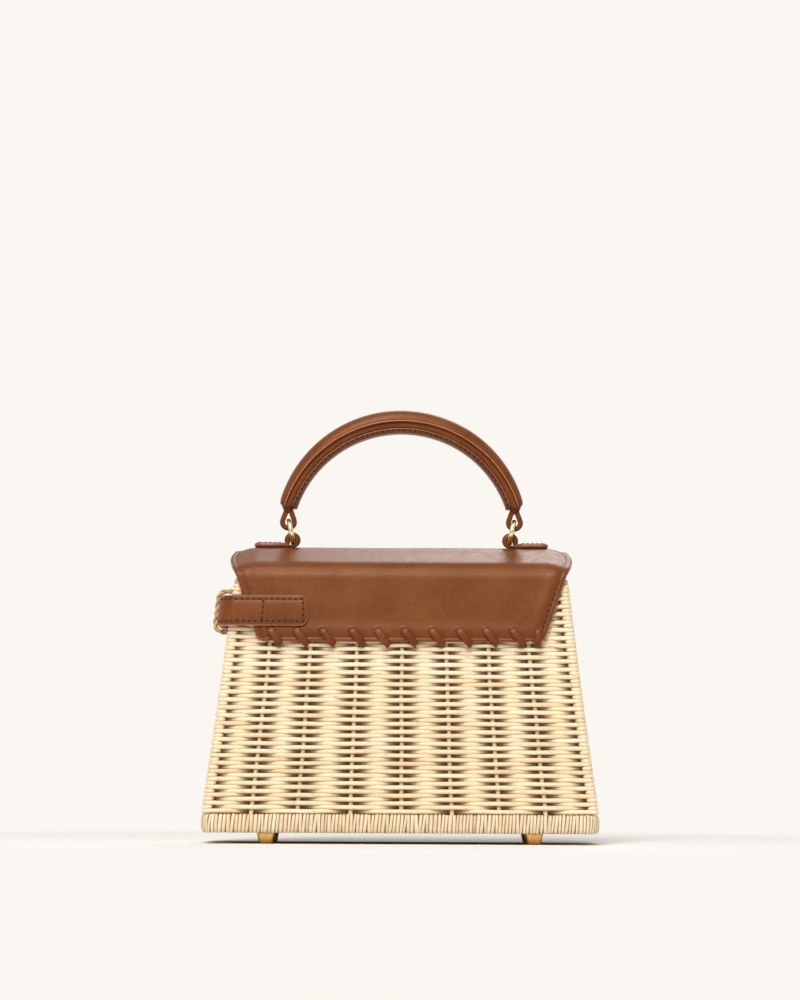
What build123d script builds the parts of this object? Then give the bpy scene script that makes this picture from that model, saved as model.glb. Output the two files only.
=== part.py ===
from build123d import *
import os
from math import atan2, cos, degrees, hypot, radians, sin, sqrt, tan

# A small top handle bag: a woven rattan basket that widens to its foot,
# under a leather lid that is laced to the back wall.
# Millimetres, +Z up. The origin is on the floor, midway between the feet.
# The back of the bag, with the lacing, faces -Y and the front flap +Y.

# Basket, all round
base_width = 210.0
base_depth = 95.0
foot_height = 5.8
rim_height = 10.0
rim_thickness = 7.5
rim_corner = 9.0
wrap_pitch = 4.2
wrap_relief = 0.7
rim_chamfer = 1.5
board_thickness = 4.0
board_gap = 0.2
wall_inset = 2.4
wall_lean = 6.63
mouth_height = 3.4
mouth_depth = 6.0
mouth_corner = 7.0
mouth_round = 1.2

# Weave: each row of reed passes before one stake and behind the next
row_pitch = 2.1
row_count = 58
reed_thickness = 2.1
stake_thickness = 2.4
back_stakes = 7
side_stakes = 3
reed_corner = 3.0
corner_wrap = 6.6
cavity_corner = 1.5

# Corner posts
post_diameter = 4.6
post_clearance = 0.3

# Feet and their screws
foot_top = 9.4
foot_bottom = 7.2
foot_corner = 1.4
foot_x = 70.8
foot_y = 32.0
screw_diameter = 3.0
screw_bite = 4.0
screw_clearance = 0.1
screw_head_diameter = 6.4
screw_head_height = 1.6

# Leather of the lid
leather = 2.2
lid_top = 159.1
lid_eaves = 147.5
lid_crest = 6.0
lid_half_width = 91.0
lid_shoulder = 6.0
panel_bottom = 106.3
panel_bottom_half = 75.6
panel_top_half = 87.5
panel_corner = 5.0
panel_gap = 0.3
fold_gap = 0.3
flap_bottom = 100.0
flap_gap = 5.0

# Lacing
lace_count = 11
lace_pitch = 14.25
lace_first_x = -70.2
lace_width = 3.2
lace_thickness = 1.3
lace_clearance = 0.3
lace_hole_rise = 6.9
lace_run = 6.3
lace_dip = 1.9
lace_bend = 2.1

# Side strap, sewn on the back panel, round the left side, under the flap
strap_bottom = 114.6
strap_height = 16.4
strap_thickness = 2.2
strap_gap = 0.35
strap_side_gap = 3.0
strap_back_end = 49.4
strap_front_end = 50.0
strap_corner = 7.0
strap_tip_round = 3.0

# Magnetic snap between the strap and the flap
snap_diameter = 10.0
snap_thickness = 1.0
snap_inset = 9.0

# Twisted rattan loop on the left wall, round the strap
keeper_reed = 2.6
keeper_clearance = 0.6
keeper_height = 24.6
keeper_bend = 3.6

# Rings
ring_x = 59.9
ring_height = 8.7
ring_radius = 6.1
ring_wire = 1.7
ring_lean = 11.0

# Tabs on the lid
tab_outer_x = 79.3
tab_width = 11.0
tab_thickness = 2.5
tab_round = 3.0
tab_loop_radius = 3.7
tab_loop_wall = 1.2
tab_loop_width = 4.4
tab_loop_x = 58.85

# Handle
handle_rise = 74.8
handle_radius = 67.3
handle_sweep = 154.0
grip_depth = 6.2
grip_width = 12.6
strap_inner_rise = 12.6
strap_inner_radius = 59.6
strap_half_width = 5.4
strap_edge_round = 2.2
loop_x = 61.15
loop_radius = 3.8
loop_wall = 1.7
loop_width = 4.4
loop_rise = 1.1
loop_apex_rise = 7.2
loop_apex_radius = 0.3
neck_x = 60.25
neck_width = 5.6
neck_bite = 3.0
neck_clearance = 0.1

# Heights that follow
rim_top = foot_height + rim_height
weave_top = rim_top + row_count * row_pitch
mouth_top = weave_top + mouth_height
board_top = foot_height + board_thickness
fold_height = mouth_top + fold_gap
ring_z = lid_top + ring_height

# The wall leans in by this much for each millimetre of height
lean = tan(radians(wall_lean))
lean_length = sqrt(1 + lean * lean)


def half_width(z):
    """Half the width of the basket over the reeds at height z."""
    return base_width / 2 - wall_inset - lean * (z - rim_top)


def half_depth(z):
    """Half the depth of the basket over the reeds at height z."""
    return base_depth / 2 - wall_inset - lean * (z - rim_top)


def off_wall(z, stand):
    """Y of a face that lies stand off the reeds of the front wall."""
    return half_depth(z) + stand * lean_length


def back_plane(z, stand=0.0):
    """Plane on the back wall at height z, lying stand off the reeds, facing out."""
    return Plane(origin=(0, -off_wall(z, stand), z), x_dir=(1, 0, 0), z_dir=(0, -1, lean))


def front_plane(z, stand=0.0):
    """Plane on the front wall at height z, lying stand off the reeds, facing out."""
    return Plane(origin=(0, off_wall(z, stand), z), x_dir=(-1, 0, 0), z_dir=(0, 1, lean))


def save(sub_part, name):
    """Label a finished piece and write it to its own file."""
    sub_part.label = name
    export_step(sub_part, f"parts/{name}.step")


os.makedirs("parts", exist_ok=True)


# Woven body
wall_total = 2 * reed_thickness + stake_thickness
weave_depth = reed_thickness + stake_thickness


def reed_side(row, length, stakes):
    """Places along one wall of a row, and how far in it lies there, from corner to corner."""
    places = [(reed_corner, 0)]
    if row % 2:
        places.append((corner_wrap, weave_depth))
    for stake in range(1, stakes + 1):
        places.append((stake * length / (stakes + 1), weave_depth if (row + stake) % 2 else 0))
    if row % 2:
        places.append((length - corner_wrap, weave_depth))
    places.append((length - reed_corner, 0))
    return places


def reed_line(row):
    """Outline of one row seen from above. Odd rows wind round the corners, even rows pass outside."""
    z = rim_top + (row + 1) * row_pitch
    wide, deep = half_width(z), half_depth(z)
    long_wall = reed_side(row, 2 * wide, back_stakes)
    end_wall = reed_side(row, 2 * deep, side_stakes)
    points = [(-wide + along, -deep + inset) for along, inset in long_wall]
    points += [(wide - inset, -deep + along) for along, inset in end_wall]
    points += [(wide - along, deep - inset) for along, inset in long_wall]
    points += [(-wide + inset, deep - along) for along, inset in end_wall]
    return points


def lace_spots(index):
    """Centre, length and slant of one whip stitch, on the back wall above the panel's edge."""
    run = lace_run if index < lace_count - 1 else -lace_run / 4
    drop = (lace_hole_rise + lace_dip) * lean_length
    centre_x = lace_first_x + index * lace_pitch + run / 2
    centre_y = (lace_hole_rise - lace_dip) / 2 * lean_length
    length = hypot(run, drop) - 2 * lace_thickness
    return centre_x, centre_y, length, degrees(atan2(-drop, run))


def lace_slots():
    """Slots for the stitches, cut where each one goes in and where it comes out."""
    for index in range(lace_count):
        x, y, length, slant = lace_spots(index)
        reach = (length + lace_thickness) / 2
        for end in (-1, 1):
            spot = (x + end * reach * cos(radians(slant)), y + end * reach * sin(radians(slant)))
            with Locations(spot):
                Rectangle(
                    lace_thickness + 2 * lace_clearance, lace_width + 2 * lace_clearance, rotation=slant
                )


with BuildPart() as woven_body:
    for row in range(row_count):
        with BuildSketch(Plane.XY.offset(rim_top + row * row_pitch)):
            with BuildLine():
                Polyline(*reed_line(row), close=True)
            make_face()
    extrude(amount=row_pitch)
    for height in (rim_top, weave_top):
        with BuildSketch(Plane.XY.offset(height)):
            RectangleRounded(
                2 * (half_width(height) - wall_total), 2 * (half_depth(height) - wall_total), cavity_corner
            )
    loft(ruled=True, mode=Mode.SUBTRACT)
    # The slots that the lace goes through
    with BuildSketch(back_plane(panel_bottom)):
        lace_slots()
    extrude(amount=2 * wall_total, both=True, mode=Mode.SUBTRACT)
save(woven_body.part, "woven_body")


# Foot rim, a hoop wrapped with flat cane
def wrap_grooves():
    """Centres of the grooves between the wraps, all round the rim."""
    places = []
    for length, offset, along in (
        (base_width - 2 * rim_corner, base_depth / 2, True),
        (base_depth - 2 * rim_corner, base_width / 2, False),
    ):
        count = round(length / wrap_pitch)
        for index in range(count + 1):
            place = -length / 2 + index * length / count
            for side in (-1, 1):
                places.append((place, side * offset) if along else (side * offset, place))
    return places


with BuildPart() as base_rim:
    with BuildSketch(Plane.XY.offset(foot_height)):
        RectangleRounded(base_width, base_depth, rim_corner)
    extrude(amount=rim_height)
    outer_edges = base_rim.faces().sort_by(Axis.Z)[0].edges() + base_rim.faces().sort_by(Axis.Z)[-1].edges()
    chamfer(outer_edges, rim_chamfer)
    with BuildSketch(Plane.XY.offset(foot_height)):
        RectangleRounded(
            base_width - 2 * rim_thickness, base_depth - 2 * rim_thickness, rim_corner - rim_thickness / 2
        )
    extrude(amount=rim_height, mode=Mode.SUBTRACT)
    with BuildSketch(Plane.XY.offset(foot_height)):
        with Locations(*wrap_grooves()):
            Rectangle(wrap_relief * sqrt(2), wrap_relief * sqrt(2), rotation=45)
    extrude(amount=rim_height, mode=Mode.SUBTRACT)
save(base_rim.part, "base_rim")


# Floor of the basket, inside the rim
with BuildPart() as base_board:
    with BuildSketch(Plane.XY.offset(foot_height)):
        RectangleRounded(
            base_width - 2 * (rim_thickness + board_gap),
            base_depth - 2 * (rim_thickness + board_gap),
            rim_corner - rim_thickness / 2,
        )
        with GridLocations(2 * foot_x, 2 * foot_y, 2, 2):
            Circle(screw_diameter / 2 + screw_clearance, mode=Mode.SUBTRACT)
    extrude(amount=board_thickness)
save(base_board.part, "base_board")


# Bound edge of the mouth
with BuildPart() as top_rim:
    mouth_half_width = half_width(mouth_top)
    mouth_half_depth = half_depth(mouth_top)
    with BuildSketch(Plane.XY.offset(weave_top)):
        RectangleRounded(2 * mouth_half_width, 2 * mouth_half_depth, mouth_corner)
        RectangleRounded(
            2 * (mouth_half_width - mouth_depth),
            2 * (mouth_half_depth - mouth_depth),
            mouth_corner - mouth_depth,
            mode=Mode.SUBTRACT,
        )
    extrude(amount=mouth_height)
    chamfer(top_rim.faces().sort_by(Axis.Z)[-1].edges(), mouth_round)
save(top_rim.part, "top_rim")


# Corner posts, standing on the floor inside the corners of the wall
def corner_post(side_x, side_y):
    """One leaning corner post."""
    post_radius = post_diameter / 2
    inset = wall_total + post_clearance + post_radius
    with BuildPart() as post:
        for z in (board_top, weave_top):
            with BuildSketch(Plane.XY.offset(z)):
                with Locations((side_x * (half_width(z) - inset), side_y * (half_depth(z) - inset))):
                    Circle(post_radius)
        loft()
    return post.part


for side_x, hand in ((-1, "left"), (1, "right")):
    for side_y, end in ((-1, "back"), (1, "front")):
        save(corner_post(side_x, side_y), f"corner_post_{end}_{hand}")


# Brass feet, each held by a screw from inside
def foot(x, y):
    """One tapered foot with a blind hole for its screw."""
    with BuildPart() as block:
        with BuildSketch(Plane.XY):
            with Locations((x, y)):
                RectangleRounded(foot_bottom, foot_bottom, foot_corner)
        with BuildSketch(Plane.XY.offset(foot_height)):
            with Locations((x, y)):
                RectangleRounded(foot_top, foot_top, foot_corner)
        loft()
        with BuildSketch(Plane.XY.offset(foot_height)):
            with Locations((x, y)):
                Circle(screw_diameter / 2 + screw_clearance)
        extrude(amount=-screw_bite - screw_clearance, mode=Mode.SUBTRACT)
    return block.part


for side_x, hand in ((-1, "left"), (1, "right")):
    for side_y, end in ((-1, "back"), (1, "front")):
        save(foot(side_x * foot_x, side_y * foot_y), f"foot_{end}_{hand}")

with BuildPart() as foot_screws:
    with BuildSketch(Plane.XY.offset(foot_height - screw_bite)):
        with GridLocations(2 * foot_x, 2 * foot_y, 2, 2):
            Circle(screw_diameter / 2)
    extrude(amount=screw_bite + board_thickness)
    with BuildSketch(Plane.XY.offset(board_top)):
        with GridLocations(2 * foot_x, 2 * foot_y, 2, 2):
            Circle(screw_head_diameter / 2)
    extrude(amount=screw_head_height)
save(foot_screws.part, "foot_screws")


# Leather of the lid: one hide, split along the fold where it hinges
hide_taper = (panel_top_half - panel_bottom_half) / (fold_height - panel_bottom)
shoulder_break = panel_bottom + (lid_half_width - panel_bottom_half) / hide_taper


def hide_half(z):
    """Half the width of the hide at height z."""
    return panel_bottom_half + (z - panel_bottom) * hide_taper


def hide_outline(bottom):
    """Outline of the hide seen from the back, from its bottom edge up."""
    Polyline(
        (-hide_half(bottom), bottom),
        (hide_half(bottom), bottom),
        (lid_half_width, shoulder_break),
        (lid_half_width, lid_top),
        (-lid_half_width, lid_top),
        (-lid_half_width, shoulder_break),
        close=True,
    )


with BuildPart() as back_panel:
    panel_top = fold_height
    with BuildSketch(Plane.YZ):
        with BuildLine():
            Polyline(
                (-off_wall(panel_bottom, panel_gap), panel_bottom),
                (-off_wall(panel_bottom, panel_gap + leather), panel_bottom),
                (-off_wall(panel_top, panel_gap + leather), panel_top),
                (-off_wall(panel_top, panel_gap), panel_top),
                close=True,
            )
        make_face()
    extrude(amount=lid_half_width, both=True)
    with BuildSketch(Plane.XZ) as panel_trim:
        with BuildLine():
            hide_outline(panel_bottom)
        make_face()
        fillet(panel_trim.vertices().sort_by(Axis.Y)[0:2], panel_corner)
    extrude(amount=base_depth, both=True, mode=Mode.INTERSECT)
    with BuildSketch(back_plane(panel_bottom)):
        lace_slots()
    extrude(amount=2 * (panel_gap + leather), mode=Mode.SUBTRACT)
save(back_panel.part, "back_panel")

with BuildPart() as lid:
    lid_foot = fold_height + fold_gap
    lid_under = lid_top - leather
    eaves_under = lid_eaves - leather
    with BuildSketch(Plane.YZ):
        with BuildLine():
            outside = FilletPolyline(
                (-off_wall(lid_foot, panel_gap + leather), lid_foot),
                (-off_wall(lid_eaves, panel_gap + leather), lid_eaves),
                (-lid_crest, lid_top),
                (lid_crest, lid_top),
                (off_wall(lid_eaves, flap_gap + leather), lid_eaves),
                (off_wall(flap_bottom, flap_gap + leather), flap_bottom),
                radius=lid_shoulder,
            )
            inside = FilletPolyline(
                (-off_wall(lid_foot, panel_gap), lid_foot),
                (-off_wall(eaves_under, panel_gap), eaves_under),
                (-lid_crest, lid_under),
                (lid_crest, lid_under),
                (off_wall(eaves_under, flap_gap), eaves_under),
                (off_wall(flap_bottom, flap_gap), flap_bottom),
                radius=lid_shoulder - leather,
            )
            Line(outside @ 0, inside @ 0)
            Line(outside @ 1, inside @ 1)
        make_face()
    extrude(amount=lid_half_width, both=True)
    with BuildSketch(Plane.XZ) as lid_trim:
        with BuildLine():
            hide_outline(flap_bottom)
        make_face()
        fillet(lid_trim.vertices().sort_by(Axis.Y)[0:2], panel_corner)
    extrude(amount=base_depth, both=True, mode=Mode.INTERSECT)
save(lid.part, "lid")


# Whip stitches that lace the panel to the basket
with BuildPart() as lacing:
    stack = wall_total + panel_gap + leather
    middle = panel_gap + leather - stack / 2
    for index in range(lace_count):
        x, y, length, slant = lace_spots(index)
        wall = back_plane(panel_bottom, middle)
        along = wall.x_dir * cos(radians(slant)) + wall.y_dir * sin(radians(slant))
        centre = wall.from_local_coords(Vector(x, y, 0))
        with BuildSketch(Plane(origin=centre, x_dir=along, z_dir=along.cross(wall.z_dir))):
            depth = stack + 2 * lace_clearance
            RectangleRounded(length + 2 * lace_thickness, depth + 2 * lace_thickness, lace_bend)
            Rectangle(length, depth, mode=Mode.SUBTRACT)
        extrude(amount=lace_width / 2, both=True)
save(lacing.part, "lacing")


# Side strap
def strap_line(z, stand):
    """One face of the strap seen from above at height z: on the panel, round the wall, behind the flap."""
    back_y = -off_wall(z, panel_gap + leather + strap_gap + stand)
    side_x = -half_width(z) - strap_side_gap - stand
    front_y = off_wall(z, strap_gap + stand)
    return FilletPolyline(
        (-strap_back_end, back_y),
        (side_x, back_y),
        (side_x, front_y),
        (-strap_front_end, front_y),
        radius=strap_corner + stand,
    )


with BuildPart() as strap:
    for height in (strap_bottom, strap_bottom + strap_height):
        with BuildSketch(Plane.XY.offset(height)):
            with BuildLine():
                inner = strap_line(height, 0)
                outer = strap_line(height, strap_thickness)
                Line(inner @ 0, outer @ 0)
                Line(inner @ 1, outer @ 1)
            make_face()
    loft(ruled=True)
    tips = strap.edges().filter_by(
        lambda edge: edge.length < 2 * strap_thickness and edge.center().X > -strap_front_end - 1
    )
    fillet(tips, strap_tip_round)
save(strap.part, "strap")


# Magnetic snap: a stud on the strap's front end, a socket under the flap
snap_x = -strap_front_end - snap_inset
snap_z = strap_bottom + strap_height / 2

with BuildPart() as snap_stud:
    with BuildSketch(front_plane(snap_z, strap_gap + strap_thickness)):
        with Locations((-snap_x, 0)):
            Circle(snap_diameter / 2)
    extrude(amount=snap_thickness)
save(snap_stud.part, "snap_stud")

with BuildPart() as snap_socket:
    with BuildSketch(front_plane(snap_z, flap_gap)):
        with Locations((-snap_x, 0)):
            Circle(snap_diameter / 2)
    extrude(amount=-snap_thickness)
save(snap_socket.part, "snap_socket")


# Rattan keeper on the left wall: two reeds side by side, arched over the strap
with BuildPart() as keeper_loop:
    keeper_low = snap_z - keeper_height / 2 + keeper_reed / 2
    keeper_high = snap_z + keeper_height / 2 - keeper_reed / 2
    keeper_reach = strap_side_gap + strap_thickness + keeper_clearance + keeper_reed / 2
    with BuildSketch(Plane.XZ):
        with BuildLine():
            arches = []
            for stand in (-keeper_reed / 2, keeper_reed / 2):
                arches.append(
                    FilletPolyline(
                        (-half_width(keeper_high + stand) - keeper_clearance, keeper_high + stand),
                        (-half_width(keeper_high) - keeper_reach - stand, keeper_high + stand),
                        (-half_width(keeper_low) - keeper_reach - stand, keeper_low - stand),
                        (-half_width(keeper_low - stand) - keeper_clearance, keeper_low - stand),
                        radius=keeper_bend + stand,
                    )
                )
            Line(arches[0] @ 0, arches[1] @ 0)
            Line(arches[0] @ 1, arches[1] @ 1)
        make_face()
    extrude(amount=keeper_reed, both=True)
    for y in (-keeper_reed, keeper_reed):
        rims = keeper_loop.faces().sort_by(Axis.Y)[0 if y < 0 else -1].edges()
        chamfer(rims.filter_by(lambda edge: edge.length > 1.2 * keeper_reed), keeper_reed / 4)
save(keeper_loop.part, "keeper_loop")


# Rings between the tabs and the handle
def ring(side):
    """One ring, upright across the bag, its top leaning outwards."""
    with BuildPart() as hoop:
        with Locations(Location((side * ring_x, 0, ring_z), (0, 90 + side * ring_lean, 0))):
            Torus(ring_radius, ring_wire / 2)
    return hoop.part


save(ring(-1), "ring_left")
save(ring(1), "ring_right")


# Tabs sewn on the lid, each rolled into a loop for its ring
def tab(side):
    """One tab on the lid top, its loop at the inner end."""
    with BuildPart() as strip:
        with BuildSketch(Plane.XZ):
            with Locations((side * tab_loop_x, lid_top + tab_loop_radius)):
                Circle(tab_loop_radius)
            with Locations((side * (tab_loop_x + tab_loop_radius), lid_top + tab_thickness / 2)):
                Rectangle(2 * tab_loop_radius, tab_thickness)
            with Locations((side * tab_loop_x, lid_top + tab_loop_radius)):
                Circle(tab_loop_radius - tab_loop_wall, mode=Mode.SUBTRACT)
        extrude(amount=tab_loop_width / 2, both=True)
        plate_length = tab_outer_x - tab_loop_x - tab_loop_radius
        with BuildSketch(Plane.XY.offset(lid_top)):
            with Locations((side * (tab_outer_x - plate_length / 2), 0)):
                plate = Rectangle(plate_length, tab_width)
            fillet(plate.vertices(), tab_round)
        extrude(amount=tab_thickness)
    return strip.part


save(tab(-1), "tab_left")
save(tab(1), "tab_right")


# Handle: an arched strap that ends in a loop on each ring, under a rolled grip
handle_z = lid_top + handle_rise - handle_radius
grip_inner = handle_radius - grip_depth
half_sweep = radians(handle_sweep / 2)
strap_under = lid_top + handle_rise - strap_inner_rise
strap_end_z = handle_z + grip_inner * cos(half_sweep)

with BuildPart() as handle_strap:
    inner_z = strap_under - strap_inner_radius
    inner_end_x = sqrt(strap_inner_radius**2 - (strap_end_z - inner_z) ** 2)
    outer_end_x = grip_inner * sin(half_sweep)
    with BuildSketch(Plane.XZ):
        with BuildLine():
            ThreePointArc(
                (-outer_end_x, strap_end_z), (0, handle_z + grip_inner), (outer_end_x, strap_end_z)
            )
            Line((outer_end_x, strap_end_z), (inner_end_x, strap_end_z))
            ThreePointArc((inner_end_x, strap_end_z), (0, strap_under), (-inner_end_x, strap_end_z))
            Line((-inner_end_x, strap_end_z), (-outer_end_x, strap_end_z))
        make_face()
    extrude(amount=strap_half_width, both=True)
    under_edges = handle_strap.edges().filter_by(GeomType.CIRCLE).sort_by(SortBy.RADIUS)[0:2]
    chamfer(under_edges, strap_edge_round)
    for side in (-1, 1):
        loop_centre = (side * loop_x, ring_z + loop_rise + loop_radius)
        with BuildSketch(Plane.XZ):
            with Locations(loop_centre):
                Circle(loop_radius)
            with Locations((side * neck_x, strap_end_z - loop_wall / 2)):
                Rectangle(neck_width, loop_wall)
            make_hull()
            with Locations((side * neck_x, strap_end_z)):
                Rectangle(neck_width, 2 * neck_bite)
        extrude(amount=loop_width / 2, both=True)
        with BuildSketch(Plane.XZ):
            with Locations(loop_centre):
                Circle(loop_radius - loop_wall)
            with Locations((side * loop_x, ring_z + loop_apex_rise)):
                Circle(loop_apex_radius)
            make_hull()
        extrude(amount=loop_width, both=True, mode=Mode.SUBTRACT)
save(handle_strap.part, "handle_strap")

with BuildPart() as handle_grip:
    outward = Vector(-sin(half_sweep), 0, cos(half_sweep))
    section_plane = Plane(origin=(0, 0, handle_z), x_dir=(0, 1, 0), z_dir=(outward.Z, 0, -outward.X))
    with BuildSketch(section_plane):
        with Locations((0, grip_inner)):
            Ellipse(grip_width / 2, grip_depth)
        with Locations((0, grip_inner - grip_depth / 2)):
            Rectangle(grip_width, grip_depth, mode=Mode.SUBTRACT)
    revolve(axis=Axis((0, 0, handle_z), (0, 1, 0)), revolution_arc=handle_sweep)
    # A pocket in each end takes the neck of the strap
    with BuildSketch(Plane.XZ):
        with Locations((-neck_x, strap_end_z), (neck_x, strap_end_z)):
            Rectangle(neck_width + 2 * neck_clearance, 2 * (neck_bite + neck_clearance))
    extrude(amount=loop_width / 2 + neck_clearance, both=True, mode=Mode.SUBTRACT)
save(handle_grip.part, "handle_grip")
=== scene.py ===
"""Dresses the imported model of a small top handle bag: a woven rattan basket with a wrapped
foot rim, under a leather lid that is laced to its back wall, with a ringed handle on top.

Sizes in the classes are millimetres. Meshes are made in metres, in the frame of the model:
the origin on the floor, the laced back towards -Y and the front flap towards +Y.
"""

import logging
import math
from dataclasses import dataclass, field
from enum import Enum

import bpy
import numpy as np
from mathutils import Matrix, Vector

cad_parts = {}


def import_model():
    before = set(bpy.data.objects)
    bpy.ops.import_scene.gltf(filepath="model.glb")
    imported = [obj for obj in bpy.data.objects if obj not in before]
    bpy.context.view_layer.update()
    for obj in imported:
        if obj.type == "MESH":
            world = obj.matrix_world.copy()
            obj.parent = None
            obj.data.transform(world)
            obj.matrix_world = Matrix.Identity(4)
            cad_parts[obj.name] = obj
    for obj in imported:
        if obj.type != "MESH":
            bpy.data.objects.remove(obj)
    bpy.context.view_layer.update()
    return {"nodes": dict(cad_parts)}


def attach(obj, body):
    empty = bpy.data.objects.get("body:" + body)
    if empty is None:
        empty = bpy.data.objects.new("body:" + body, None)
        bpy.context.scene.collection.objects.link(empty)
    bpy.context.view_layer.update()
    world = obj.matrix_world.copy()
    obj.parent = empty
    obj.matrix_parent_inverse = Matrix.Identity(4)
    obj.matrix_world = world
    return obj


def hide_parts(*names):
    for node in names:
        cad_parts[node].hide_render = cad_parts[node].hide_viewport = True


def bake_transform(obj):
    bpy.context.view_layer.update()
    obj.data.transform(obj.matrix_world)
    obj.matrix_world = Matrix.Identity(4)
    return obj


MM = 0.001
log = logging.getLogger("rattan_bag")


# ---------------------------------------------------------------- small geometry


def srgb(red: int, green: int, blue: int) -> tuple[float, float, float, float]:
    """Turn a display colour into a linear one.

    Args:
        red, green, blue: Display values from 0 to 255.

    Returns:
        The linear colour with an alpha of 1.
    """
    linear = []
    for value in (red, green, blue):
        share = value / 255
        linear.append(share / 12.92 if share <= 0.04045 else ((share + 0.055) / 1.055) ** 2.4)
    return (*linear, 1.0)


def unit(vectors: np.ndarray) -> np.ndarray:
    """Scale vectors, along the last axis, to a length of one."""
    return vectors / np.maximum(np.linalg.norm(vectors, axis=-1, keepdims=True), 1e-12)


def smooth_step(value: np.ndarray, low: float, high: float) -> np.ndarray:
    """Rise smoothly from 0 at low to 1 at high."""
    share = np.clip((value - low) / (high - low), 0.0, 1.0)
    return share * share * (3 - 2 * share)


def wobble(along: np.ndarray, length: float, seed: float) -> np.ndarray:
    """A slow uneven wave between about -1 and 1.

    Args:
        along: Places along a line.
        length: The rough length of one wave, in the same unit.
        seed: Any number; it picks the wave.

    Returns:
        One value for each place.
    """
    turn = 2 * math.pi * along / length
    return (
        0.5 * np.sin(turn + 1.7 * seed)
        + 0.3 * np.sin(1.83 * turn + 2.9 * seed)
        + 0.2 * np.sin(3.1 * turn + 4.3 * seed)
    )


def filleted(corners: list[tuple[float, ...]], radii: float | list[float], step: float) -> np.ndarray:
    """Round the corners of an open run of points and space the result evenly.

    Args:
        corners: Points in the plane or in space.
        radii: Radius of every bend, or one for each.
        step: Rough distance between the points made.

    Returns:
        The points as an array.
    """
    given = [np.array(corner, float) for corner in corners]
    rough = [given[0]]
    bends = radii if isinstance(radii, list) else [radii] * (len(given) - 2)
    for before, here, after, radius in zip(given, given[1:], given[2:], bends):
        back, ahead = unit(before - here), unit(after - here)
        half = math.acos(float(np.clip(np.dot(back, ahead), -1, 1))) / 2
        reach = radius / math.tan(half)
        centre = here + unit(back + ahead) * radius / math.sin(half)
        start, end = here + back * reach - centre, here + ahead * reach - centre
        turn = math.pi - 2 * half
        for share in np.linspace(0, 1, max(3, int(turn * radius / step) + 2)):
            arm = start * math.sin((1 - share) * turn) + end * math.sin(share * turn)
            rough.append(centre + arm / math.sin(turn))
    rough.append(given[-1])
    return even(np.array(rough), step)


def run_along(points: np.ndarray) -> np.ndarray:
    """Distances from the first point of a polyline to each of its points."""
    return np.concatenate([[0], np.cumsum(np.linalg.norm(np.diff(points, axis=0), axis=1))])


def sampled(points: np.ndarray, run: np.ndarray, wanted: np.ndarray) -> np.ndarray:
    """Read rows off a polyline, whose points lie at the distances run, at the wanted distances."""
    return np.stack([np.interp(wanted, run, points[:, axis]) for axis in range(points.shape[1])], 1)


def even(points: np.ndarray, step: float) -> np.ndarray:
    """Space the points of a polyline evenly, about a step apart."""
    run = run_along(points)
    return sampled(points, run, np.linspace(0, run[-1], max(2, int(round(run[-1] / step)) + 1)))


def eased(value: np.ndarray, power: float) -> np.ndarray:
    """Raise the size of a value to a power and keep its sign."""
    return np.sign(value) * np.abs(value) ** power


def flowing(knots: list[tuple[float, ...]], per_span: int = 8) -> np.ndarray:
    """A smooth curve through all the knots.

    Args:
        knots: Points that the curve passes through.
        per_span: Points made between two knots.

    Returns:
        The points of the curve.
    """
    given = np.array(knots, float)
    padded = np.vstack([2 * given[0] - given[1], given, 2 * given[-1] - given[-2]])
    made = []
    for start in range(len(given) - 1):
        p0, p1, p2, p3 = padded[start : start + 4]
        for share in np.linspace(0, 1, per_span, endpoint=False):
            made.append(
                0.5
                * (
                    2 * p1
                    + (p2 - p0) * share
                    + (2 * p0 - 5 * p1 + 4 * p2 - p3) * share**2
                    + (3 * p1 - p0 - 3 * p2 + p3) * share**3
                )
            )
    made.append(given[-1])
    return np.array(made)


def rounded_outline(
    places: np.ndarray, half_x: float, half_y: float, radius: float
) -> tuple[np.ndarray, np.ndarray]:
    """Points on a rounded rectangle, counted anticlockwise from the middle of the back.

    Args:
        places: Distances along the outline.
        half_x, half_y: Half sizes of the rectangle.
        radius: Radius of its corners.

    Returns:
        Points and outward normals, both in the plane.
    """
    quarter = math.pi / 2 * radius
    inner_x, inner_y = half_x - radius, half_y - radius
    runs = [inner_x, quarter, 2 * inner_y, quarter, 2 * inner_x, quarter, 2 * inner_y, quarter, inner_x]
    marks = np.concatenate([[0], np.cumsum(runs)])
    place = np.mod(places, marks[-1])
    part = np.clip(np.searchsorted(marks, place, side="right") - 1, 0, len(runs) - 1)
    run = place - marks[part]
    starts = [(0, -half_y), (half_x, -inner_y), (inner_x, half_y), (-half_x, inner_y), (-inner_x, -half_y)]
    centres = [(inner_x, -inner_y), (inner_x, inner_y), (-inner_x, inner_y), (-inner_x, -inner_y)]
    points, normals = np.zeros((2, len(place), 2))
    for index in range(len(runs)):
        here = part == index
        angle = math.radians(90 * (index // 2) - 90) + run[here] / radius * (index % 2)
        facing = np.stack([np.cos(angle), np.sin(angle)], 1)
        normals[here] = facing
        if index % 2:
            points[here] = np.array(centres[index // 2]) + radius * facing
        else:
            along = np.stack([-facing[:, 1], facing[:, 0]], 1)
            points[here] = np.array(starts[index // 2]) + run[here, None] * along
    return points, normals


def outline_length(half_x: float, half_y: float, radius: float) -> float:
    """Length round a rounded rectangle."""
    return 4 * (half_x + half_y - 2 * radius) + 2 * math.pi * radius


# ---------------------------------------------------------------- mesh building


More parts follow.
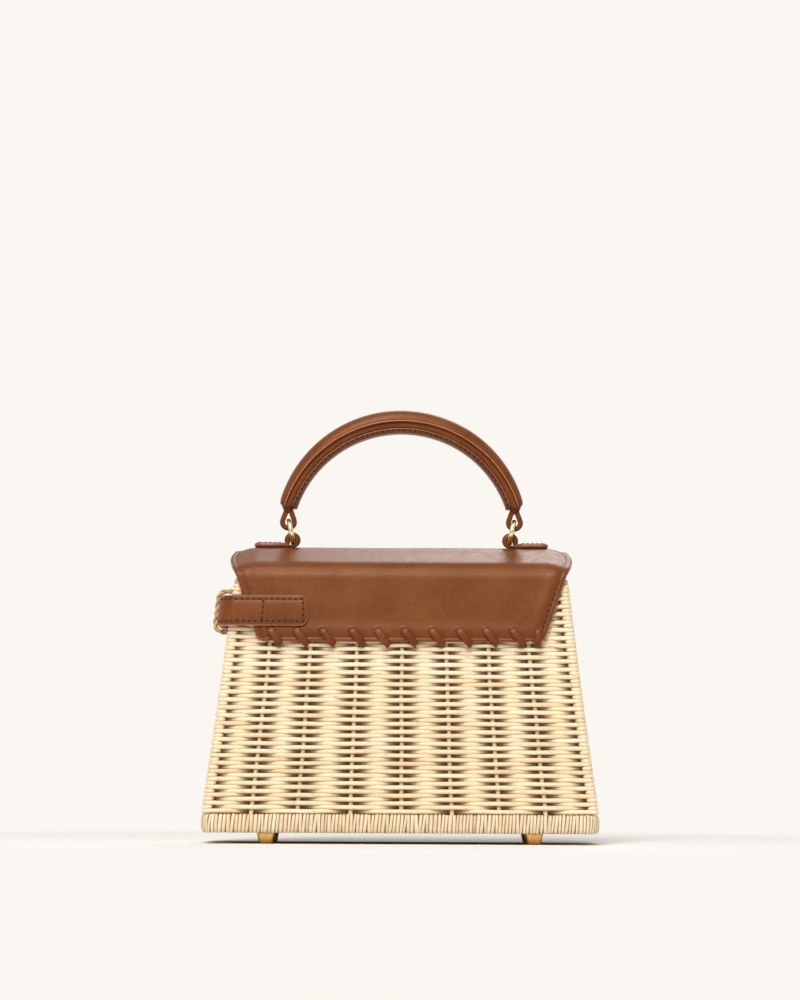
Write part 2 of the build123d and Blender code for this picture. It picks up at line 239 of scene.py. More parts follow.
def skin(
    rings: int, sides: int, closed: bool = False, flip: bool = False, wrap: bool = True
) -> list[tuple[int, ...]]:
    """List the faces of a surface through rings of points.

    Args:
        rings: Number of rings.
        sides: Points in each ring.
        closed: True where the last ring joins the first. Otherwise both ends are capped.
        flip: True to turn every face round.
        wrap: False where each ring is an open strip.

    Returns:
        The faces, as places in the rings laid end to end.
    """
    faces: list[tuple[int, ...]] = []
    for ring in range(rings if closed else rings - 1):
        low, high = ring * sides, (ring + 1) % rings * sides
        for side in range(sides if wrap else sides - 1):
            beside = (side + 1) % sides
            quad = (low + side, high + side, high + beside, low + beside)
            faces.append(quad[:1] + quad[:0:-1] if flip else quad)
    if not closed:
        first, last = tuple(range(sides)), tuple(range(rings * sides - 1, (rings - 1) * sides - 1, -1))
        faces += [first[::-1], last[::-1]] if flip else [first, last]
    return faces


class Patchwork:
    """Collects pieces of mesh, in millimetres, and makes one object of them."""

    def __init__(self) -> None:
        """Start with no mesh."""
        self.points: list[np.ndarray] = []
        self.faces: list[tuple[int, ...]] = []
        self.slots: list[int] = []
        self.tones: list[np.ndarray] = []
        self.shades: list[np.ndarray] = []
        self.fibres: list[np.ndarray] = []
        self.count = 0

    def add(
        self,
        points: np.ndarray,
        faces: list[tuple[int, ...]],
        slot: int = 0,
        tone: float | np.ndarray = 0.5,
        fibre: np.ndarray | None = None,
        shade: float | np.ndarray = 1.0,
    ) -> None:
        """Add one piece of mesh.

        Args:
            points: Its points, one row each.
            faces: Its faces, as places in the rows of points.
            slot: Which of the object's finishes it takes.
            tone: How pale or dark it is within its finish, from 0 to 1.
            fibre: Places along and round the fibre, for grain that follows it.
            shade: 1 where no shade is painted, less deep in the weave and where parts touch, where painted
                shade darkens the colour.
        """
        total = len(points)
        self.points.append(points)
        self.faces.extend(tuple(corner + self.count for corner in face) for face in faces)
        self.slots.extend([slot] * len(faces))
        self.tones.append(np.broadcast_to(np.asarray(tone, float), (total,)).copy())
        self.shades.append(np.broadcast_to(np.asarray(shade, float), (total,)).copy())
        self.fibres.append(points.copy() if fibre is None else fibre)
        self.count += total

    def tube(
        self,
        path: np.ndarray,
        half_across: float | np.ndarray,
        half_up: float | np.ndarray,
        up: tuple[float, float, float] | np.ndarray = (0, 0, 1),
        sides: int = 8,
        closed: bool = False,
        slot: int = 0,
        tone: float | np.ndarray = 0.5,
        power: float = 1.0,
        start: float = 0.0,
        shade: float | np.ndarray = 1.0,
        shade_behind: float | np.ndarray | None = None,
        crease: float = 0.0,
    ) -> None:
        """Sweep an oval along a path.

        Args:
            path: Points of the centre line.
            half_across: Half size at right angles to the path and to up.
            half_up: Half size towards up.
            up: The direction that the section's second half size points in.
            sides: Number of sides of the section.
            closed: True where the path returns to its start.
            slot: Which of the object's finishes it takes.
            tone: Paleness, one value or one for each point of the path.
            power: 1 for an oval, less for a squarer section.
            start: Length at which its grain starts.
            shade: Share left free of painted shade, one value or one for each point of the path.
            shade_behind: The same for its inner half, where that differs.
            crease: How much painted shade darkens it above and below, where its neighbours touch it.
        """
        total = len(path)
        ahead = np.roll(path, -1, 0) - path
        behind = path - np.roll(path, 1, 0)
        if not closed:
            ahead[-1], behind[0] = behind[-1], ahead[0]
        tangent = unit(unit(ahead) + unit(behind))
        out = unit(np.cross(tangent, np.broadcast_to(np.asarray(up, float), path.shape)))
        rise = np.cross(out, tangent)
        angle = 2 * math.pi * np.arange(sides) / sides
        ring_out, ring_up = eased(np.cos(angle), power), eased(np.sin(angle), power)

        def each(given: float | np.ndarray) -> np.ndarray:
            """Spread one value, or one for each point of the path, into a column."""
            return np.broadcast_to(np.asarray(given, float), (total,))[:, None]

        across, tall = each(half_across) * ring_out, each(half_up) * ring_up
        points = path[:, None, :] + across[..., None] * out[:, None, :] + tall[..., None] * rise[:, None, :]
        fibre = np.stack([np.repeat(run_along(path) + start, sides), across.ravel() + start, tall.ravel()], 1)
        inner = shade if shade_behind is None else shade_behind
        # Painted shade: the half of the reed that lies deep is darkened, and so are its top and bottom where
        # neighbours touch.
        unshaded = np.where(ring_out >= 0, each(shade), each(inner)) * (1 - crease * np.abs(ring_up) ** 6)
        tones = np.repeat(each(tone)[:, 0], sides)
        self.add(points.reshape(-1, 3), skin(total, sides, closed), slot, tones, fibre, unshaded.ravel())

    def sheet(
        self,
        face: np.ndarray,
        normal: np.ndarray,
        thickness: float,
        edge_slot: int = 1,
        back_slot: int = 2,
        segments: int = 5,
        tone: float = 0.5,
    ) -> None:
        """Add a sheet of leather with a rounded edge all round.

        Args:
            face: A grid of points on its outer face; the rounded edge adds half the thickness.
            normal: The outward normals of that grid.
            thickness: How thick the sheet is.
            edge_slot: Finish of the rounded edge.
            back_slot: Finish of the inner face.
            segments: Facets round the edge.
            tone: Paleness.
        """
        rows, columns = face.shape[:2]
        grid = np.arange(rows * columns).reshape(rows, columns)
        quads = np.stack([grid[:-1, :-1], grid[:-1, 1:], grid[1:, 1:], grid[1:, :-1]], -1).reshape(-1, 4)
        first = face[0, 0]
        trial = np.cross(face[0, 1] - first, face[1, 0] - first)
        flipped = float(np.dot(trial, normal[0, 0])) < 0
        front = quads[:, ::-1] if flipped else quads
        loop = np.concatenate([grid[0, :], grid[1:, -1], grid[-1, -2::-1], grid[-2:0:-1, 0]])
        flat_face, flat_normal = face.reshape(-1, 3), normal.reshape(-1, 3)
        rim, rim_normal = flat_face[loop], flat_normal[loop]
        travel = unit(unit(np.roll(rim, -1, 0) - rim) + unit(rim - np.roll(rim, 1, 0)))
        outward = unit(np.cross(travel, rim_normal)) * (-1 if flipped else 1)
        half = thickness / 2
        centre = rim - half * rim_normal
        base = self.count
        self.add(flat_face, [tuple(quad) for quad in front.tolist()], 0, tone)
        back = flat_face - thickness * flat_normal
        self.add(back, [tuple(quad) for quad in front[:, ::-1].tolist()], back_slot, tone)
        count = len(loop)
        bead = []
        for step in range(1, segments):
            angle = math.pi * step / segments
            bead.append(centre + half * (math.cos(angle) * rim_normal + math.sin(angle) * outward))
        self.add(np.concatenate(bead), [], edge_slot, tone)
        bead_start = base + 2 * rows * columns
        rings = [base + loop]
        rings += [bead_start + step * count + np.arange(count) for step in range(segments - 1)]
        rings.append(base + rows * columns + loop)
        for band, (upper, lower) in enumerate(zip(rings, rings[1:])):
            for index in range(count):
                following = (index + 1) % count
                quad = (int(upper[index]), int(lower[index]), int(lower[following]), int(upper[following]))
                self.faces.append(quad[::-1] if flipped else quad)
                self.slots.append(edge_slot if band else 0)

    def make(
        self,
        name: str,
        finishes: list[bpy.types.Material],
        body: str,
        slot: str,
        replaced: tuple[str, ...] = (),
    ) -> bpy.types.Object:
        """Make the object and hand it to the frame.

        Args:
            name: Name of the piece.
            finishes: Its materials, in the order of the slots.
            body: The moving body that it rides on, or an empty string for none yet.
            slot: The material slot's name; not used.
            replaced: The model's nodes that it stands for.

        Returns:
            The new object.
        """
        mesh = bpy.data.meshes.new(name)
        mesh.from_pydata((np.concatenate(self.points) * MM).tolist(), [], self.faces)
        mesh.polygons.foreach_set("material_index", np.array(self.slots, np.int32))
        mesh.polygons.foreach_set("use_smooth", np.ones(len(self.faces), bool))
        for label, kind, key, values in (
            ("tone", "FLOAT", "value", self.tones),
            ("shade", "FLOAT", "value", self.shades),
            ("fibre", "FLOAT_VECTOR", "vector", self.fibres),
        ):
            attribute = mesh.attributes.new(label, kind, "POINT")
            attribute.data.foreach_set(key, np.concatenate(values).astype(np.float32).ravel())
        for finish in finishes:
            mesh.materials.append(finish)
        mesh.validate()
        piece = bpy.data.objects.new(name, mesh)
        bpy.context.scene.collection.objects.link(piece)
        if body:
            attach(piece, body)
        if replaced:
            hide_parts(*replaced)
        log.info("%s: %d faces", name, len(self.faces))
        return piece


def grid_normals(grid: np.ndarray) -> np.ndarray:
    """Unit normals of a grid of points, from its rows and columns."""
    return unit(np.cross(np.gradient(grid, axis=1), np.gradient(grid, axis=0)))


# ---------------------------------------------------------------- finishes


class Nodes:
    """A node tree under construction."""

    def __init__(self, tree: bpy.types.NodeTree) -> None:
        """Start with an empty tree."""
        self.tree = tree
        tree.nodes.clear()

    def node(self, kind: str, **settings: object) -> bpy.types.Node:
        """Add a node.

        Args:
            kind: Its type, without the leading ShaderNode.
            settings: Its properties, or its inputs where it has no such property.

        Returns:
            The node.
        """
        made = self.tree.nodes.new("ShaderNode" + kind)
        for key, value in settings.items():
            if hasattr(made, key):
                setattr(made, key, value)
            else:
                made.inputs[key.replace("_", " ").title()].default_value = value
        return made

    def join(self, source: bpy.types.Node, out: str | int, target: bpy.types.Node, into: str | int) -> None:
        """Link one node's output to another's input."""
        self.tree.links.new(source.outputs[out], target.inputs[into])

    def ramp(self, *stops: tuple[float, tuple[float, float, float, float]]) -> bpy.types.Node:
        """Add a colour ramp with the given places and colours.

        Args:
            stops: Places from 0 to 1, each with its colour.

        Returns:
            The ramp node.
        """
        made = self.node("ValToRGB")
        elements = made.color_ramp.elements
        while len(elements) < len(stops):
            elements.new(0.5)
        for element, (place, colour) in zip(elements, stops):
            element.position = place
            element.color = colour
        return made

    def calculate(self, operation: str, *terms: object) -> bpy.types.Node:
        """Add a sum of numbers or node outputs.

        Args:
            operation: What is done.
            terms: Numbers or node outputs.

        Returns:
            The maths node.
        """
        made = self.node("Math", operation=operation)
        for place, given in enumerate(terms):
            if isinstance(given, (int, float)):
                made.inputs[place].default_value = given
            else:
                self.tree.links.new(given, made.inputs[place])
        return made


class Shader(Nodes):
    """A material under construction."""

    def __init__(self, name: str) -> None:
        """Start a material with a plain surface shader.

        Args:
            name: Name of the material.
        """
        self.material = bpy.data.materials.new(name)
        self.material.use_nodes = True
        super().__init__(self.material.node_tree)
        self.output = self.node("OutputMaterial")
        self.surface = self.node("BsdfPrincipled")
        self.join(self.surface, "BSDF", self.output, "Surface")

    def set(self, **values: object) -> None:
        """Set sockets of the surface shader, named with underscores for spaces."""
        for key, value in values.items():
            self.surface.inputs[key.replace("_", " ")].default_value = value

    def mapped(self, attribute: str, scale: tuple[float, float, float]) -> bpy.types.Node:
        """Read coordinates and scale them.

        Args:
            attribute: A named attribute of the mesh, or an empty string for the object's own metres.
            scale: Scale along each axis.

        Returns:
            The mapping node.
        """
        mapping = self.node("Mapping", Scale=scale)
        source = self.node("Attribute", attribute_name=attribute) if attribute else self.node("TexCoord")
        self.join(source, "Vector" if attribute else "Object", mapping, "Vector")
        return mapping

    def noise(self, mapping: bpy.types.Node, scale: float, detail: float = 2.0) -> bpy.types.Node:
        """Add a noise texture on mapped coordinates.

        Args:
            mapping: Node that gives the coordinates.
            scale: Its scale.
            detail: Its number of octaves.

        Returns:
            The noise node.
        """
        made = self.node("TexNoise", Scale=scale, Detail=detail)
        self.join(mapping, "Vector", made, "Vector")
        return made

    def blend(self, factor: bpy.types.Node, out: str | int, first: object, second: object) -> bpy.types.Node:
        """Mix two colours by a factor; each is a colour or a node with a colour output.

        Args:
            factor, out: Node and output that hold the share of the second colour.
            first, second: Two colours, or nodes with a colour output.

        Returns:
            The mixing node.
        """
        made = self.node("Mix", data_type="RGBA")
        self.join(factor, out, made, "Factor")
        for place, given in ((6, first), (7, second)):
            if isinstance(given, tuple):
                made.inputs[place].default_value = given
            else:
                colour = given.outputs[2 if given.bl_idname == "ShaderNodeMix" else 0]
                self.tree.links.new(colour, made.inputs[place])
        return made

    def bump(self, height: object, strength: float, distance: float) -> None:
        """Let a height output roughen the surface.

        Args:
            height: The output that holds the height.
            strength: How much of it shows, from 0 to 1.
            distance: The height of a full step, in millimetres.
        """
        made = self.node("Bump", Strength=strength, Distance=distance * MM)
        self.tree.links.new(height, made.inputs["Height"])
        self.join(made, "Normal", self.surface, "Normal")


@dataclass(frozen=True)
class ReedFinish:
    """Peeled rattan, with fine streaks along each reed, and painted shade where the mesh's shade attribute
    falls.
    """

    name: str
    pale: tuple[int, int, int] = (249, 236, 208)
    straw: tuple[int, int, int] = (242, 220, 180)
    tan: tuple[int, int, int] = (214, 178, 128)
    fleck: tuple[int, int, int] = (166, 122, 78)
    # Colour of the painted shade deep in the weave and in the slits of the wrapped cane.
    painted_shade: tuple[int, int, int] = (150, 98, 42)
    roughness: float = 0.5
    streak_depth: float = 0.06
    streak_map: tuple[float, float, float] = (0.045, 1.6, 1.6)
    blotch_map: tuple[float, float, float] = (0.03, 0.12, 0.12)
    fleck_map: tuple[float, float, float] = (0.22, 1.1, 1.1)

    def make(self) -> bpy.types.Material:
        """Build the material.

        Returns:
            The new material.
        """
        shader = Shader(self.name)
        streaks = shader.noise(shader.mapped("fibre", self.streak_map), 1.0, 4.0)
        blotches = shader.noise(shader.mapped("fibre", self.blotch_map), 1.0, 3.0)
        tone = shader.node("Attribute", attribute_name="tone")
        grain = shader.calculate("MULTIPLY_ADD", streaks.outputs["Fac"], 0.5, -0.25)
        drift = shader.calculate("MULTIPLY_ADD", blotches.outputs["Fac"], 0.9, -0.45)
        summed = shader.calculate("ADD", grain.outputs[0], drift.outputs[0])
        place = shader.calculate("ADD", summed.outputs[0], tone.outputs["Fac"])
        ramp = shader.ramp((0.0, srgb(*self.tan)), (0.45, srgb(*self.straw)), (1.0, srgb(*self.pale)))
        shader.join(place, 0, ramp, "Fac")
        flecks = shader.noise(shader.mapped("fibre", self.fleck_map), 1.0, 1.0)
        sparse = shader.ramp((0.70, (0, 0, 0, 1)), (0.80, (0.75, 0.75, 0.75, 1)))
        shader.join(flecks, "Fac", sparse, "Fac")
        flecked = shader.blend(sparse, "Color", ramp, srgb(*self.fleck))
        # Painted shade: the shade attribute mixes the reed's colour towards the painted shade colour.
        unshaded = shader.node("Attribute", attribute_name="shade")
        colour = shader.blend(unshaded, "Fac", srgb(*self.painted_shade), flecked)
        shader.tree.links.new(colour.outputs[2], shader.surface.inputs["Base Color"])
        shader.set(Roughness=self.roughness, Specular_IOR_Level=0.35)
        shader.bump(streaks.outputs["Fac"], 0.6, self.streak_depth)
        return shader.material


@dataclass(frozen=True)
class LeatherFinish:
    """Smooth brown leather with a fine grain and soft cloudy colour."""

    name: str
    deep: tuple[int, int, int] = (99, 50, 21)
    warm: tuple[int, int, int] = (122, 67, 31)
    roughness: float = 0.37
    grain: float = 0.05
    sheen: float = 0.0
    cloud_scale: float = 55.0
    spot_scale: float = 420.0
    crease_scale: float = 900.0
    pore_scale: float = 1500.0

    def make(self) -> bpy.types.Material:
        """Build the material.

        Returns:
            The new material.
        """
        shader = Shader(self.name)
        metres = shader.mapped("", (1, 1, 1))
        clouds = shader.noise(metres, self.cloud_scale, 4.0)
        spots = shader.noise(metres, self.spot_scale, 2.0)
        both = shader.calculate("MULTIPLY_ADD", spots.outputs["Fac"], 0.35, clouds.outputs["Fac"])
        ramp = shader.ramp((0.42, srgb(*self.deep)), (0.95, srgb(*self.warm)))
        shader.join(both, 0, ramp, "Fac")
        shader.join(ramp, "Color", shader.surface, "Base Color")
        pores = shader.node("TexVoronoi", Scale=self.pore_scale)
        shader.join(metres, "Vector", pores, "Vector")
        creases = shader.noise(metres, self.crease_scale, 3.0)
        height = shader.calculate("MULTIPLY_ADD", creases.outputs["Fac"], 0.8, pores.outputs["Distance"])
        shader.bump(height.outputs[0], 0.5, self.grain)
        glossy, dull = ((self.roughness + change,) * 3 + (1,) for change in (-0.06, 0.08))
        shine = shader.ramp((0.3, glossy), (0.8, dull))
        shader.join(spots, "Fac", shine, "Fac")
        shader.join(shine, "Color", shader.surface, "Roughness")
        shader.set(Specular_IOR_Level=0.34, Specular_Tint=(1.0, 0.62, 0.4, 1.0))
        shader.set(Sheen_Weight=self.sheen, Sheen_Roughness=0.5)
        return shader.material


@dataclass(frozen=True)
class PlainFinish:
    """A painted, spun or turned surface with a slight unevenness."""

    name: str
    colour: tuple[int, int, int]
    shade: tuple[int, int, int]
    roughness: float = 0.4
    metallic: float = 0.0
    scale: float = 600.0
    relief: float = 0.01
    stretch: tuple[float, float, float] = (1.0, 1.0, 1.0)

    def make(self) -> bpy.types.Material:
        """Build the material.

        Returns:
            The new material.
        """
        shader = Shader(self.name)
        patches = shader.noise(shader.mapped("", self.stretch), self.scale, 3.0)
        ramp = shader.ramp((0.3, srgb(*self.shade)), (0.7, srgb(*self.colour)))
        shader.join(patches, "Fac", ramp, "Fac")
        shader.join(ramp, "Color", shader.surface, "Base Color")
        shader.set(Roughness=self.roughness, Metallic=self.metallic)
        shader.bump(patches.outputs["Fac"], 0.4, self.relief)
        return shader.material


class Finish(Enum):
    """Every finish on the bag."""

    REED = ReedFinish("rattan_reed")
    CANE = ReedFinish(
        "rattan_cane", pale=(244, 230, 200), straw=(232, 211, 174), tan=(200, 168, 122), roughness=0.42
    )
    # Painted shade: the dark core seen in the gaps between the wrapped strips.
    SHADED_CANE = ReedFinish(
        "rattan_core_painted_shade",
        pale=(150, 112, 68),
        straw=(126, 90, 52),
        tan=(96, 66, 36),
        fleck=(60, 38, 20),
        roughness=0.7,
    )
    KEEPER = ReedFinish(
        "rattan_twist", pale=(226, 196, 140), straw=(198, 160, 102), tan=(150, 112, 62), fleck=(104, 72, 38)
    )
    LEATHER = LeatherFinish("brown_leather")
    LACE = LeatherFinish("lace_leather", deep=(98, 46, 20), warm=(122, 62, 30), roughness=0.36)
    SUEDE = LeatherFinish("leather_back", deep=(134, 92, 62), warm=(158, 114, 80), roughness=0.85, sheen=0.3)
    EDGE = PlainFinish("painted_edge", (150, 92, 64), (128, 74, 48), roughness=0.35, scale=900.0)
    # Pale edge paint, also standing in for the highlight along rounded edges: partly painted highlight.
    PALE_EDGE = PlainFinish("pale_edge_paint_and_highlight", (186, 122, 88), (166, 104, 72), roughness=0.3, scale=900.0)
    THREAD = PlainFinish("sewing_thread", (104, 58, 36), (84, 44, 26), roughness=0.6, scale=2400.0, relief=0.05)
    # Painted shade: the dark inside of needle and lace holes.
    HOLE = PlainFinish("needle_hole_painted_shade", (42, 22, 14), (34, 18, 12), roughness=0.9)
    GOLD = PlainFinish("gold_wire", (252, 234, 184), (244, 222, 164), roughness=0.2, metallic=1.0, scale=300.0)
    BRASS = PlainFinish(
        "brushed_brass",
        (246, 200, 128),
        (228, 180, 104),
        roughness=0.34,
        metallic=1.0,
        scale=300.0,
        relief=0.02,
    )
    STEEL = PlainFinish("brushed_steel", (190, 190, 188), (168, 168, 166), roughness=0.32, metallic=1.0)
    BOARD = PlainFinish(
        "pale_board",
        (206, 176, 132),
        (182, 150, 106),
        roughness=0.6,
        scale=60.0,
        stretch=(1.0, 9.0, 9.0),
        relief=0.04,
    )


class Wardrobe:
    """Makes each finish once and hands it out."""

    def __init__(self) -> None:
        """Start with no finish made."""
        self.made: dict[Finish, bpy.types.Material] = {}

    def __call__(self, finish: Finish) -> bpy.types.Material:
        """Return the material of a finish.

        Args:
            finish: The finish wanted.

        Returns:
            Its material.
        """
        if finish not in self.made:
            self.made[finish] = finish.value.make()
        return self.made[finish]

    def leather(self, edge: Finish = Finish.EDGE) -> list[bpy.types.Material]:
        """Materials of a stitched leather piece: face, edge, back, thread and needle holes."""
        return [self(Finish.LEATHER), self(edge), self(Finish.SUEDE), self(Finish.THREAD), self(Finish.HOLE)]


# ---------------------------------------------------------------- the basket's form


@dataclass(frozen=True)
class WallForm:
    """The leaning walls, as the model has them."""

    base_width: float = 210.0
    base_depth: float = 95.0
    inset: float = 2.4
    lean: float = math.tan(math.radians(6.63))
    end_inset: float = 0.2
    end_lean: float = 0.143
    flare: float = 0.00013
    foot_height: float = 5.8
    rim_top: float = 15.8
    weave_top: float = 137.6
    mouth_top: float = 141.0

    @property
    def lean_length(self) -> float:
        """Length of the wall for each millimetre of height."""
        return math.sqrt(1 + self.lean**2)

    def half_width(self, height: float | np.ndarray) -> float | np.ndarray:
        """Half the width over the reeds at a height; the end walls flare a little to the foot."""
        rise = height - self.rim_top
        return self.base_width / 2 - self.end_inset - self.end_lean * rise + self.flare * rise**2

    def half_depth(self, height: float | np.ndarray) -> float | np.ndarray:
        """Half the depth over the reeds at a height."""
        return self.base_depth / 2 - self.inset - self.lean * (height - self.rim_top)

    def off_wall(self, height: float | np.ndarray, stand: float) -> float | np.ndarray:
        """Distance from the middle to a face that stands off the back or front wall."""
        return self.half_depth(height) + stand * self.lean_length

    def on_back(self, x: float, height: float, stand: float) -> tuple[float, float, float]:
        """A point that stands off the back wall."""
        return (x, -self.off_wall(height, stand), height)

    @property
    def back_normal(self) -> np.ndarray:
        """Outward normal of the back wall."""
        return unit(np.array([0.0, -1.0, self.lean]))


@dataclass
class WovenBody:
    """The woven walls: single reeds that pass before one stake and behind the next."""

    wall: WallForm
    wardrobe: Wardrobe
    rows: int = 58
    first_gap: float = 0.35
    reed_out: float = 1.1
    reed_up: float = 1.25
    mid_squash: float = -0.03
    swing: float = 1.85
    snap: float = 1.4
    stake_radius: float = 1.18
    corner_radius: float = 1.25
    step: float = 2.1
    row_wander: float = 0.16
    back_stakes: tuple[float, ...] = (-0.77, -0.53, -0.258, 0.006, 0.266, 0.512, 0.752)
    side_stakes: tuple[float, ...] = (-0.5, 0.0, 0.5)
    bundle: int = 29
    tone: float = 0.56
    # Painted shade: how deep and from what level the reeds darken where they pass behind the stakes, and how
    # much rows darken above and below where they touch, on the corner turns too.
    painted_shade_depth: float = 0.95
    painted_shade_start: float = 0.35
    crease: float = 0.45
    corner_crease: float = 0.5
    rng: np.random.Generator = field(default_factory=lambda: np.random.default_rng(11))

    @property
    def stake_inset(self) -> float:
        """Depth of the stakes' centres behind the face of the reeds."""
        return self.reed_out + self.swing

    def row_height(self, row: int) -> float:
        """Height of the middle of a row."""
        pitch = (self.wall.weave_top - self.wall.rim_top - self.first_gap) / self.rows
        return self.wall.rim_top + self.first_gap + (row + 0.5) * pitch

    def side_samples(
        self, length: float, stakes: tuple[float, ...], outside: bool
    ) -> tuple[np.ndarray, np.ndarray]:
        """Places along one wall and how far out the reed is there.

        Args:
            length: Distance between the two corner stakes.
            stakes: The stakes' places, from -1 to 1 along the wall.
            outside: True where the reed passes outside the corner stakes.

        Returns:
            Distances from the first corner, and offsets from -1 behind to 1 in front.
        """
        marks = [0.0] + [(share + 1) / 2 * length for share in stakes] + [length]
        level = 1.0 if outside else -1.0
        places, offsets = [], []
        for start, end in zip(marks, marks[1:]):
            count = max(4, int(round((end - start) / self.step)))
            share = np.arange(count) / count
            places.append(start + (end - start) * share)
            offsets.append(level * eased(np.cos(math.pi * share), self.snap))
            level = -level
        places.append(np.array([length]))
        offsets.append(np.array([level]))
        return np.concatenate(places), np.concatenate(offsets)

    def row_path(self, height: float, outside: bool) -> tuple[np.ndarray, np.ndarray]:
        """Centre line of one row and its offset level at each point.

        Args:
            height: Height of the row.
            outside: True where it passes outside the corner stakes.

        Returns:
            Points of the closed line, and levels from -1 to 1.
        """
        half_x = self.wall.half_width(height) - self.stake_inset
        half_y = self.wall.half_depth(height) - self.stake_inset
        front = tuple(-share for share in reversed(self.back_stakes))
        sides = (
            (np.array([-half_x, -half_y]), np.array([1.0, 0.0]), 2 * half_x, self.back_stakes),
            (np.array([half_x, -half_y]), np.array([0.0, 1.0]), 2 * half_y, self.side_stakes),
            (np.array([half_x, half_y]), np.array([-1.0, 0.0]), 2 * half_x, front),
            (np.array([-half_x, half_y]), np.array([0.0, -1.0]), 2 * half_y, self.side_stakes),
        )
        points, levels = [], []
        for corner, way, length, stakes in sides:
            normal = np.array([way[1], -way[0]])
            places, offsets = self.side_samples(length, stakes, outside)
            if not outside:
                kept = (places > 1.4 * self.swing) & (places < length - 1.4 * self.swing)
                places, offsets = places[kept], offsets[kept]
            line = corner + places[:, None] * way + self.swing * offsets[:, None] * normal
            points.append(line)
            levels.append(offsets)
            if outside:
                end = corner + length * way
                for share in (0.2, 0.4, 0.6, 0.8):
                    angle = share * math.pi / 2
                    arm = math.cos(angle) * normal + math.sin(angle) * way
                    points.append((end + self.swing * arm)[None, :])
                    levels.append(np.array([1.0]))
        flat = np.concatenate(points)
        return np.column_stack([flat, np.full(len(flat), height)]), np.concatenate(levels)

    def weave(self) -> list[bpy.types.Object]:
        """Make the rows, in bundles that stay light enough.

        Returns:
            The bundles of rows.
        """
        made = []
        for start in range(0, self.rows, self.bundle):
            batch = Patchwork()
            for row in range(start, min(start + self.bundle, self.rows)):
                outside = row % 2 == 0
                path, level = self.row_path(self.row_height(row), outside)
                along = run_along(path)
                path[:, 2] += self.row_wander * wobble(along, 61.0, row) + 0.05 * wobble(along, 17.0, row + 50)
                thick = 1 + 0.05 * wobble(along, 90.0, row + 7) + self.rng.normal(0, 0.02)
                tall = self.reed_up * thick * (1 - self.mid_squash * (1 - level**2))
                tone = self.tone + self.rng.normal(0, 0.1) + 0.1 * wobble(along, 120.0, row + 3)
                # Painted shade on the half of each reed that lies deep behind a stake.
                hidden = (smooth_step(side * level, self.painted_shade_start, 1.0) for side in (-1, 1))
                outer, inner = (1 - self.painted_shade_depth * share for share in hidden)
                batch.tube(
                    path,
                    self.reed_out * thick,
                    tall,
                    closed=True,
                    tone=tone,
                    start=row * 37.0,
                    shade=outer,
                    shade_behind=inner,
                    crease=self.crease,
                )
            names = ("woven_body",) if start == 0 else ()
            finishes = [self.wardrobe(Finish.REED)]
            name = f"woven_rows_{start // self.bundle + 1}"
            made.append(batch.make(name, finishes, "basket", "rattan", names))
        return made

    def stakes(self) -> bpy.types.Object:
        """Make the upright stakes and the reeds wound round the corner stakes.

        Returns:
            The stakes, as one piece.
        """
        batch = Patchwork()
        low, high = self.wall.rim_top - 2.5, self.wall.weave_top + 1.0
        heights = np.linspace(low, high, 42)
        half_x = self.wall.half_width(heights) - self.stake_inset
        half_y = self.wall.half_depth(heights) - self.stake_inset
        number = 0
        for shares, along_x in ((self.back_stakes, True), (self.side_stakes, False)):
            for share in shares:
                for side in (-1, 1):
                    bend = 0.25 * wobble(heights, 70.0, number)
                    if along_x:
                        path = np.column_stack([share * half_x + bend, side * half_y, heights])
                    else:
                        path = np.column_stack([side * half_x, share * half_y + bend, heights])
                    tone, thick = 0.5 + self.rng.normal(0, 0.12), self.stake_radius
                    batch.tube(path, thick, thick, (0, 1, 0), tone=tone, start=number * 23.0)
                    number += 1
        for side_x in (-1, 1):
            for side_y in (-1, 1):
                path = np.column_stack([side_x * half_x, side_y * half_y, heights])
                thick = self.corner_radius
                batch.tube(path, thick, thick, (0, 1, 0), tone=0.45, start=number * 23.0)
                number += 1
                self.wind_corner(batch, side_x, side_y)
        return batch.make("upright_stakes", [self.wardrobe(Finish.REED)], "basket", "rattan")

    def wind_corner(self, batch: Patchwork, side_x: int, side_y: int) -> None:
        """Wind the rows that pass inside a corner once round its stake.

        Args:
            batch: Where the turns are added.
            side_x, side_y: Which corner, each 1 or -1.
        """
        turn = np.linspace(0, 2 * math.pi, 22, endpoint=False)
        for row in range(1, self.rows, 2):
            height = self.row_height(row)
            x = side_x * (self.wall.half_width(height) - self.stake_inset)
            y = side_y * (self.wall.half_depth(height) - self.stake_inset)
            radius = self.swing * (1 + self.rng.normal(0, 0.015))
            tilt = self.rng.normal(0.12, 0.08)
            path = np.column_stack(
                [x + radius * np.cos(turn), y + radius * np.sin(turn), height + tilt * np.sin(turn + row)]
            )
            tone = 0.6 + self.rng.normal(0, 0.08)
            start, crease = row * 11.0, self.corner_crease
            batch.tube(path, self.reed_out, self.reed_up, closed=True, tone=tone, start=start, crease=crease)

    def build(self) -> list[bpy.types.Object]:
        """Make the whole wall.

        Returns:
            The bundles of rows and the stakes.
        """
        made = self.weave()
        made.append(self.stakes())
        return made


